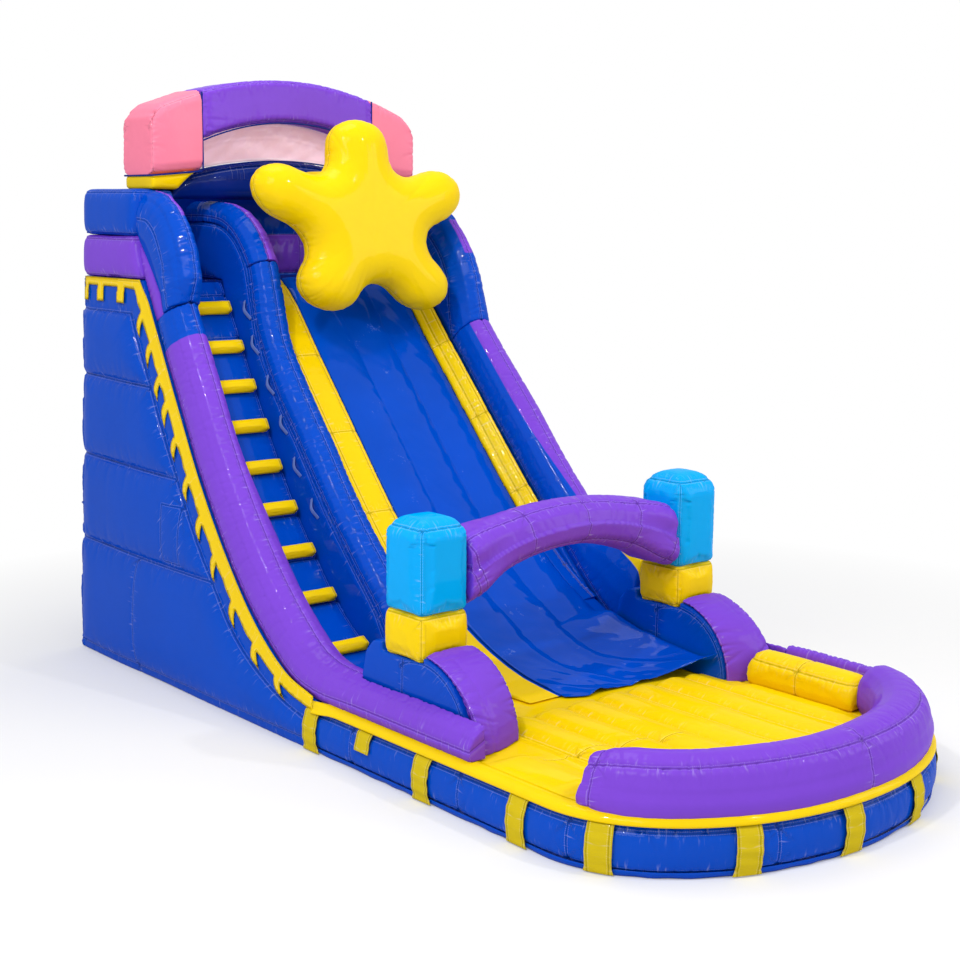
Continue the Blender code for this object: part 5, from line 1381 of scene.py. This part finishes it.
class SLIDE_OT_pool(SlideOperator, bpy.types.Operator):
    """The pool's base, floor, bumper and the pad beside it."""

    bl_idname = "slide.pool"
    bl_label = "Pool"

    channels = 7

    def make(self):
        self.base()
        self.floor()
        self.bumper()
        self.bolster()

    def base(self):
        skin = Skin("pool_base", 0.020, 3, hollow=True)
        guide = Guide(plan_outline(0.0), (0, 1))
        s, inward = guide.measure(skin.points)
        z = skin.points[:, 2]
        face = np.abs(inward) < 0.10
        skin.swell(0.004 * face, 7.0, 181)
        skin.puff(np.minimum(z - 0.04, 0.34 - z).clip(0, 1), 0.012, 0.12, face)
        skin.sew(z - 0.325, s, 183, depth=0.8, reach=1.6, rise=1.6, mask=face)
        skin.sew(z - 0.05, s, 185, depth=0.5, reach=0.9, rise=0.9, mask=face)
        for place in (0.55, 1.90, 3.05, 4.55, 6.35, 7.7, 9.1):
            skin.sew(s - place, z, 187, depth=0.5, reach=0.5, rise=0.6, mask=face)
        skin.done()

    def floor(self):
        skin = Skin("pool_floor", 0.018, 4)
        x, y, _ = skin.points.T
        top = skin.normals[:, 2] > 0.4
        pitch = 2.46 / self.channels
        pool = top & (x > -1.20) & (x < 1.36) & (y < -1.47) & (y > -3.75)
        skin.puff(np.abs(wrap(x + 1.13, pitch)), 0.022, pitch * 0.5, pool)
        skin.sew(wrap(x + 1.13, pitch), y, 191, depth=1.0, reach=1.0, rise=0.45, mask=pool)
        skin.sew(y + 2.62 + 0.25 * x, x, 193, depth=0.35, reach=0.5, rise=0.5,
                 mask=top & (x < -0.2) & (x > -1.4))
        guide = Guide(plan_outline(0.0), (0, 1))
        s, inward = guide.measure(skin.points)
        skin.sew(inward - 0.06, s, 195, depth=0.3, reach=0.8, rise=0.8, mask=top & (x < 0))
        skin.done()

    def bumper(self):
        skin = Skin("front_bumper", 0.013, 4)
        guide = Guide(plan_outline(0.255), (0, 1))
        s, inward = guide.measure(skin.points)
        high = skin.points[:, 2] - (REST + 0.17)
        radius = np.hypot(inward, high)
        low_front = np.clip(-inward / radius, 0, 1) * np.clip(-high / radius, 0, 1) * 2
        grow = radius * (0.045 + 0.20 * low_front ** 1.3)
        end = 1 - ease((s - s.min()) / 0.30)
        skin.points[:, :2] -= 0.085 * end[:, None] * self.along(guide, s)
        skin.measure()
        skin.push(grow)
        skin.bend(2, skin.points[:, 2].clip(0.388, 9.0))
        skin.swell(0.005, 5.0, 201)
        s, inward = guide.measure(skin.points)
        high = skin.points[:, 2] - (REST + 0.17)
        angle = np.arctan2(-inward, high)
        radius = np.hypot(inward, high)
        skin.sew((angle - 0.72) * radius, s, 203, depth=1.0, reach=1.5, rise=1.7)
        skin.sew((angle + 1.5) * radius, s, 207, depth=0.3, reach=1.0, rise=0.6, line=False)
        skin.sew(s - s.min() - 0.16, angle * radius, 205, depth=0.5, reach=0.9, rise=0.9)
        skin.sew(s - 5.05, angle * radius, 209, depth=0.35, reach=0.8, rise=0.6)
        skin.done()

    def along(self, guide, s):
        """The guide's direction beside each point."""
        return np.stack([np.interp(s, guide.run, guide.ahead[:, k]) for k in (0, 1)], axis=1)

    def bolster(self):
        skin = Skin("side_bolster", 0.010, 4)
        x, y, z = skin.points.T
        right, middle = x.max(), (y.min() + y.max()) / 2
        skin.points[:, 0] = right + 0.02 - (right - x) * 1.16
        skin.points[:, 1] = middle + (y - middle) * 1.26
        skin.points[:, 2] = 0.71 - (z.max() - z) * 1.22
        skin.measure()
        skin.inflate(frames=16, pressure=3.0, limit=0.012)
        x, y, z = skin.points.T
        skin.sew(z - 0.655, y, 211, depth=0.5, reach=1.1, rise=1.2, mask=x < 1.55)
        skin.sew(y + 2.42, x + z, 213, depth=0.5, reach=0.6, rise=0.6)
        skin.done()


class SLIDE_OT_base_strips(SlideOperator, bpy.types.Operator):
    """Yellow straps down the base, the yellow lap over its top edge, and the ground flap."""

    bl_idname = "slide.base_strips"
    bl_label = "Base strips"

    insets = ((0.0, 0.045), (0.03, 0.01), (0.10, -0.012), (0.19, -0.022), (0.28, -0.012),
              (0.345, 0.012), (0.372, 0.045))
    straps = ((-0.09, 0.19), (0.646, 0.18), (1.385, 0.19), (2.475, 0.19), (3.20, 0.19),
              (4.22, 0.19), (5.11, 0.19), (5.97, 0.19), (7.00, 0.19), (7.95, 0.19), (8.90, 0.19))
    lip = ((0.430, 0.110), (0.434, 0.070), (0.430, 0.040), (0.418, 0.008), (0.402, -0.010),
           (0.390, -0.018), (0.378, -0.019), (0.368, -0.015))

    def make(self):
        self.line = np.vstack([[(-HALF_WIDTH, 0.12)], plan_outline(0.0, 0.02)])
        self.guide = Guide(self.line, (0, 1))
        long = self.guide.run[-1]
        self.lap("rim_lap", 0.12, long - 0.02)
        self.flap("ground_flap", 0.15, long - 0.05)
        for i, (start, wide) in enumerate(self.straps):
            self.strap(f"base_strap_{i + 1}", start + 0.12, start + wide + 0.12, i == 1)

    def point(self, s, z, lift):
        """A point on the base at this distance round it and this height, stood off by lift."""
        place = np.array([np.interp(s, self.guide.run, self.line[:, k]) for k in (0, 1)])
        aside = np.array([np.interp(s, self.guide.run, self.guide.aside[:, k]) for k in (0, 1)])
        inset = float(np.interp(z, *zip(*self.insets)))
        x, y = place + aside * (inset - lift)
        return (x * (1 - LEAN * z), y, z)

    def lap(self, name, start, end):
        """The rounded lip that closes the floor's edge over the base."""
        rows = []
        for z, inset in self.lip:
            rows.append([])
            for s in np.arange(start, end, 0.03):
                flat = 1 - ease((s - start) / 0.35)
                inner = float(np.interp(z, *zip(*self.insets)))
                drop = flat * (0.43 - z) * 0.45
                rows[-1].append(self.point(s, z - drop, inner - inset * (1 - flat) + 0.009 * flat))
        Skin([], mesh=layered(name, rows, 0.004)).done(slot="yellow_vinyl")

    def flap(self, name, start, end):
        rows = []
        for share in np.linspace(0, 1, 6):
            rows.append([])
            for s in np.arange(start, end, 0.03):
                wave = 0.006 * math.sin(s * 17 + 2 * math.sin(s * 5))
                z = 0.050 - 0.048 * share
                rows[-1].append(self.point(s, z, 0.008 + (0.014 + wave) * share))
        Skin([], mesh=layered(name, rows, 0.003)).done(slot="blue_vinyl")

    def strap(self, name, start, end, short):
        rows = []
        low = 0.20 if short else 0.03
        for z in (*np.linspace(0.376, low, 26), *([] if short else (0.018, 0.010))):
            spread = 0.018 * max(0.0, (0.05 - z) / 0.05)
            lift = 0.026 + 0.030 * max(0.0, (0.035 - z) / 0.035)
            rows.append([self.point(s, z, lift + 0.003 * math.sin(z * 60 + s * 9))
                         for s in np.linspace(start - spread, end + spread, 11)])
        skin = Skin([], mesh=layered(name, rows, 0.004))
        s, _ = self.guide.measure(skin.points)
        edge = np.minimum(s - start, end - s) - 0.018
        skin.sew(edge, skin.points[:, 2], 223, depth=0.1, reach=0.3, rise=0.2)
        skin.done(vinyl("sewn_strap", (0.66, 0.50, 0.012), roughness=0.45, gloss=0.08),
                  slot="yellow_vinyl")


class SLIDE_OT_gate(SlideOperator, bpy.types.Operator):
    """The two pillars at the pool entrance, their arch and their fenders."""

    bl_idname = "slide.gate"
    bl_label = "Gate"

    half, middle_x, middle_y = 0.26, 1.44, -0.93

    def make(self):
        for label, side in SIDES:
            self.box(f"{label}_pillar", side, 1.33, 2.17)
            self.box(f"{label}_pillar_base", side, 0.97, 1.33)
            self.fender(label, side)
        self.arch()

    def box(self, node, side, low, high):
        skin = Skin(node, 0.012, 4)
        skin.inflate(frames=14, pressure=7.0, limit=0.016)
        x, y, z = skin.points.T
        across, deep = x - side * self.middle_x, y - self.middle_y
        if node.endswith("pillar"):
            over = (z - 1.85).clip(0, 1)
            corner = np.hypot(*[np.maximum(np.abs(d) - 0.09, 0) for d in (across, deep)])
            fall = over * (0.26 if side < 0 else 0.04) + 1.5 * corner ** 2 * ease(over / 0.25)
            skin.bend(2, z - fall)
            z = skin.points[:, 2]
        upright = np.abs(skin.normals[:, 2]) < 0.75
        corner = self.half - 0.012
        skin.sew(np.abs(across) - np.abs(deep), z, 231 + side, depth=0.35, reach=0.6, rise=0.45,
                 mask=upright & (np.abs(across) > corner * 0.8))
        around = np.where(np.abs(across) > np.abs(deep), deep, across)
        if node.endswith("pillar"):
            skin.sew(z - z.max() + 0.075, around, 235 + side, depth=0.7, reach=1.0, rise=1.7,
                     mask=np.hypot(across, deep) > 0.15)
            skin.sew(z - 1.345, around, 237 + side, depth=0.4, reach=0.6, rise=0.5)
        else:
            skin.sew(z - low - 0.02, around, 239 + side, depth=0.4, reach=0.6, rise=0.5)
            skin.sew(z - high + 0.015, around, 241 + side, depth=0.3, reach=0.6, rise=0.4)
        skin.done()

    def arch(self):
        skin = Skin("pillar_arch", 0.012, 4)
        skin.swell(0.005, 6.0, 243)
        reach, rise = self.middle_x - self.half, 0.26
        radius = (reach ** 2 + rise ** 2) / (2 * rise)
        spread = math.asin(reach / radius)
        turn = np.linspace(-spread, spread, 90)
        line = np.stack([radius * np.sin(turn), radius * np.cos(turn) + 1.61 + rise - radius], 1)
        guide = Guide(line, (0, 2))
        s, above = guide.measure(skin.points)
        off = self.middle_y - skin.points[:, 1]
        ring = np.hypot(off, above)
        near = ease((np.abs(skin.points[:, 0]) - 0.65) / 0.45)
        boxy = near * (np.abs(off * above) * 2 / ring ** 2) ** 1.5
        skin.push(ring * (0.03 + 0.22 * boxy) + 0.022 * (above < 0))
        skin.bend(1, self.middle_y + (skin.points[:, 1] - self.middle_y) * (1 + 0.10 * near))
        edge = self.middle_x - self.half - 0.001
        skin.bend(0, skin.points[:, 0].clip(-edge, edge))
        s, above = guide.measure(skin.points)
        off = self.middle_y - skin.points[:, 1]
        angle, ring = np.arctan2(off, above), np.hypot(off, above)
        skin.sew((angle - 0.62) * ring, s, 245, depth=0.9, reach=1.3, rise=1.4)
        skin.sew((angle - 2.35) * ring, s, 247, depth=0.6, reach=0.9, rise=0.8)
        skin.sew((angle + 1.2) * ring, s, 249, depth=0.6, reach=1.0, rise=0.9)
        skin.sew(wrap(s - 0.1, 0.62), angle * ring, 251, depth=0.35, reach=0.7, rise=0.4)
        skin.sew(np.minimum(s, guide.run[-1] - s) - 0.02, angle * ring, 253, depth=0.8,
                 reach=1.2, rise=1.2)
        skin.done()

    def fender(self, label, side):
        roll = Skin(f"{label}_fender", 0.011, 4)
        x, y, z = roll.points.T
        across = side * (x - side * self.middle_x)
        turn = np.arctan2(z - REST, -(y + 1.17)) * 0.6
        for edge, seed in ((self.half - 0.012, 261), (-self.half + 0.012, 263)):
            roll.sew(across - edge, turn, seed, depth=0.6, reach=1.5, rise=1.5)
        roll.sew(across - 0.10, turn, 265, depth=0.3, reach=0.6, rise=0.4, line=False)
        roll.done()
        panel = Skin(f"{label}_fender_panel", 0.014, 3)
        x, y, z = panel.points.T
        rim = np.hypot(y + 1.17, (z - REST)) - 0.55
        face = np.abs(panel.normals[:, 0]) > 0.5
        panel.sew(np.where(y < -0.9, rim, 9.0), y + z, 267, depth=0.4, reach=1.0, rise=1.0,
                  mask=face)
        panel.sew(y + 0.93, z, 269, depth=0.4, reach=0.4, rise=0.3, mask=face)
        panel.done()


class SLIDE_OT_rear_fittings(SlideOperator, bpy.types.Operator):
    """The inflation sleeve, the anchor rings in their webbing tabs, and the deflation zip."""

    bl_idname = "slide.rear_fittings"
    bl_label = "Rear fittings"

    def make(self):
        keep(["anchor_ring_left", "anchor_ring_right", "zip_slider"])
        for label in ("left", "right"):
            self.strap(f"anchor_tab_{label}", 3)
        self.strap("zip_tape", 2)
        sleeve = Skin("inflation_sleeve", mesh=self.subdivided("inflation_sleeve", 5))
        x, y, z = sleeve.points.T
        turn = np.arctan2(z - 0.15, x + 0.95)
        sleeve.sew(y - 4.42, turn * 0.14, 271, depth=0.2, reach=0.6, rise=0.5)
        ripple = 0.004 * np.sin(turn * 9 + 2 * np.sin(y * 40)) * (y > BACK_Y + 0.03)
        sleeve.push(ripple)
        sleeve.done()

    def subdivided(self, node, cuts):
        form = packed_form(node)
        bmesh.ops.subdivide_edges(form, edges=form.edges[:], cuts=cuts, use_grid_fill=True)
        bmesh.ops.triangulate(form, faces=[f for f in form.faces if len(f.verts) > 4])
        mesh = bpy.data.meshes.new(node + "_fine")
        form.to_mesh(mesh)
        form.free()
        return mesh

    def strap(self, node, cuts):
        Skin(node, mesh=self.subdivided(node, cuts)).done(finish_of("polyester_webbing"))


class SLIDE_OT_stage(SlideOperator, bpy.types.Operator):
    """Floor, lamps, sky and camera."""

    bl_idname = "slide.stage"
    bl_label = "Stage"

    def make(self):
        self.floor()
        self.lamps()
        self.sky()
        self.camera()
        bpy.context.scene.view_settings.view_transform = "Standard"

    def floor(self):
        form = bmesh.new()
        bmesh.ops.create_grid(form, x_segments=1, y_segments=1, size=60.0)
        mesh = bpy.data.meshes.new("studio_floor")
        form.to_mesh(mesh)
        form.free()
        thing = bpy.data.objects.new("studio_floor", mesh)
        thing.location.z = -0.001
        bpy.context.scene.collection.objects.link(thing)
        material = self.floor_paint()
        mesh.materials.append(material)

    def floor_paint(self):
        """Pale floor that keeps the shadow and turns pure white towards the horizon."""
        shader = Shader("floor_paint")
        paint = shader.node("ShaderNodeBsdfDiffuse", {}, {"Color": (0.88, 0.88, 0.88, 1.0)})
        white = shader.node("ShaderNodeEmission", {}, {"Color": (1.0, 1.0, 1.0, 1.0)})
        away = shader.out(shader.node("ShaderNodeVectorMath", {"operation": "LENGTH"},
                                      {0: shader.place()}), "Value")
        near = 0.20  # share of white where the object stands
        fade = (away / 4.0 - 1.15).clamp()  # to 1 between 4.6 and 8.6 m out
        share = shader.seen() * (fade * (1.0 - near) + near)
        total = shader.node("ShaderNodeMixShader", {}, {0: share, 1: paint.outputs[0],
                                                        2: white.outputs[0]})
        shader.feed(shader.tree.nodes["Material Output"].inputs["Surface"], total.outputs[0])
        shader.tree.nodes.remove(shader.surface)
        return shader.material

    def lamps(self):
        s = studio()
        self.lamp("key", (-9.0, -5.5, 11.0), (0.0, 0.0, 2.0), 6.0, s.key)
        self.lamp("fill", (9.0, -9.0, 7.0), (0.0, 0.0, 1.5), 6.0, s.fill)
        self.lamp("top", (0.0, 3.0, 12.5), (0.0, 0.0, 2.0), 5.0, s.key * 0.5)
        self.lamp("glint_left", (-9.0, -3.0, 13.0), (0.0, 0.5, 2.0), 0.7, s.key)
        self.lamp("glint_right", (3.0, -9.0, 12.0), (0.0, 0.0, 2.0), 0.6, s.key * 0.6)

    def lamp(self, name, place, aim, size, power):
        data = bpy.data.lights.new(name, "AREA")
        data.shape = "RECTANGLE"
        data.size, data.size_y = size, size
        data.energy = power
        thing = bpy.data.objects.new(name, data)
        thing.location = place
        thing.rotation_euler = (Vector(aim) - Vector(place)).to_track_quat("-Z", "Y").to_euler()
        bpy.context.scene.collection.objects.link(thing)

    def sky(self):
        world = bpy.data.worlds.new("studio_sky")
        bpy.context.scene.world = world
        world.use_nodes = True
        shader = Shader("sky", world.node_tree)
        back = world.node_tree.nodes["Background"]
        level = studio().sky_level
        shader.feed(back.inputs["Color"], (1.0, 1.0, 1.0, 1.0))
        shader.feed(back.inputs["Strength"], shader.seen() * (1.0 - level) + level)

    def camera(self):
        s = studio()
        data = bpy.data.cameras.new("camera")
        data.sensor_width = 36.0
        data.lens = s.lens
        data.clip_end = 200.0
        thing = bpy.data.objects.new("camera", data)
        ahead = Vector((math.sin(s.yaw) * math.cos(s.pitch), math.cos(s.yaw) * math.cos(s.pitch),
                        -math.sin(s.pitch)))
        flat = Vector((math.cos(s.yaw), -math.sin(s.yaw), 0.0))
        rise = flat.cross(ahead)
        right = flat * math.cos(s.roll) + rise * math.sin(s.roll)
        up = -flat * math.sin(s.roll) + rise * math.cos(s.roll)
        turn = Matrix((right, up, -ahead)).transposed().to_4x4()
        thing.matrix_world = Matrix.Translation(Vector(s.eye)) @ turn
        bpy.context.scene.collection.objects.link(thing)
        bpy.context.scene.camera = thing


class SLIDE_PT_panel(bpy.types.Panel):
    """Lists the operators of the water slide."""

    bl_label = "Water Slide"
    bl_idname = "SLIDE_PT_panel"
    bl_space_type = "VIEW_3D"
    bl_region_type = "UI"
    bl_category = "Water Slide"

    def draw(self, context):
        for kind in OPERATORS:
            self.layout.operator(kind.bl_idname)


OPERATORS = (SLIDE_OT_walls, SLIDE_OT_trims, SLIDE_OT_rails, SLIDE_OT_tower, SLIDE_OT_crown,
             SLIDE_OT_star, SLIDE_OT_divider, SLIDE_OT_climbing_lane, SLIDE_OT_sliding_lane,
             SLIDE_OT_pool, SLIDE_OT_base_strips, SLIDE_OT_gate, SLIDE_OT_rear_fittings,
             SLIDE_OT_stage)
GROUPS = (("slide_colours", SlideColours), ("slide_sewing", SlideSewing),
          ("slide_studio", SlideStudio))


def register():
    for _, group in GROUPS:
        bpy.utils.register_class(group)
    for kind in (*OPERATORS, SLIDE_PT_panel):
        bpy.utils.register_class(kind)
    for name, group in GROUPS:
        setattr(bpy.types.Scene, name, PointerProperty(type=group))


def unregister():
    for name, _ in GROUPS:
        delattr(bpy.types.Scene, name)
    for kind in (SLIDE_PT_panel, *reversed(OPERATORS)):
        bpy.utils.unregister_class(kind)
    for _, group in reversed(GROUPS):
        bpy.utils.unregister_class(group)


def main():
    register()
    for kind in OPERATORS:
        family, name = kind.bl_idname.split(".")
        getattr(getattr(bpy.ops, family), name)()


if __name__ == "__main__":
    main()
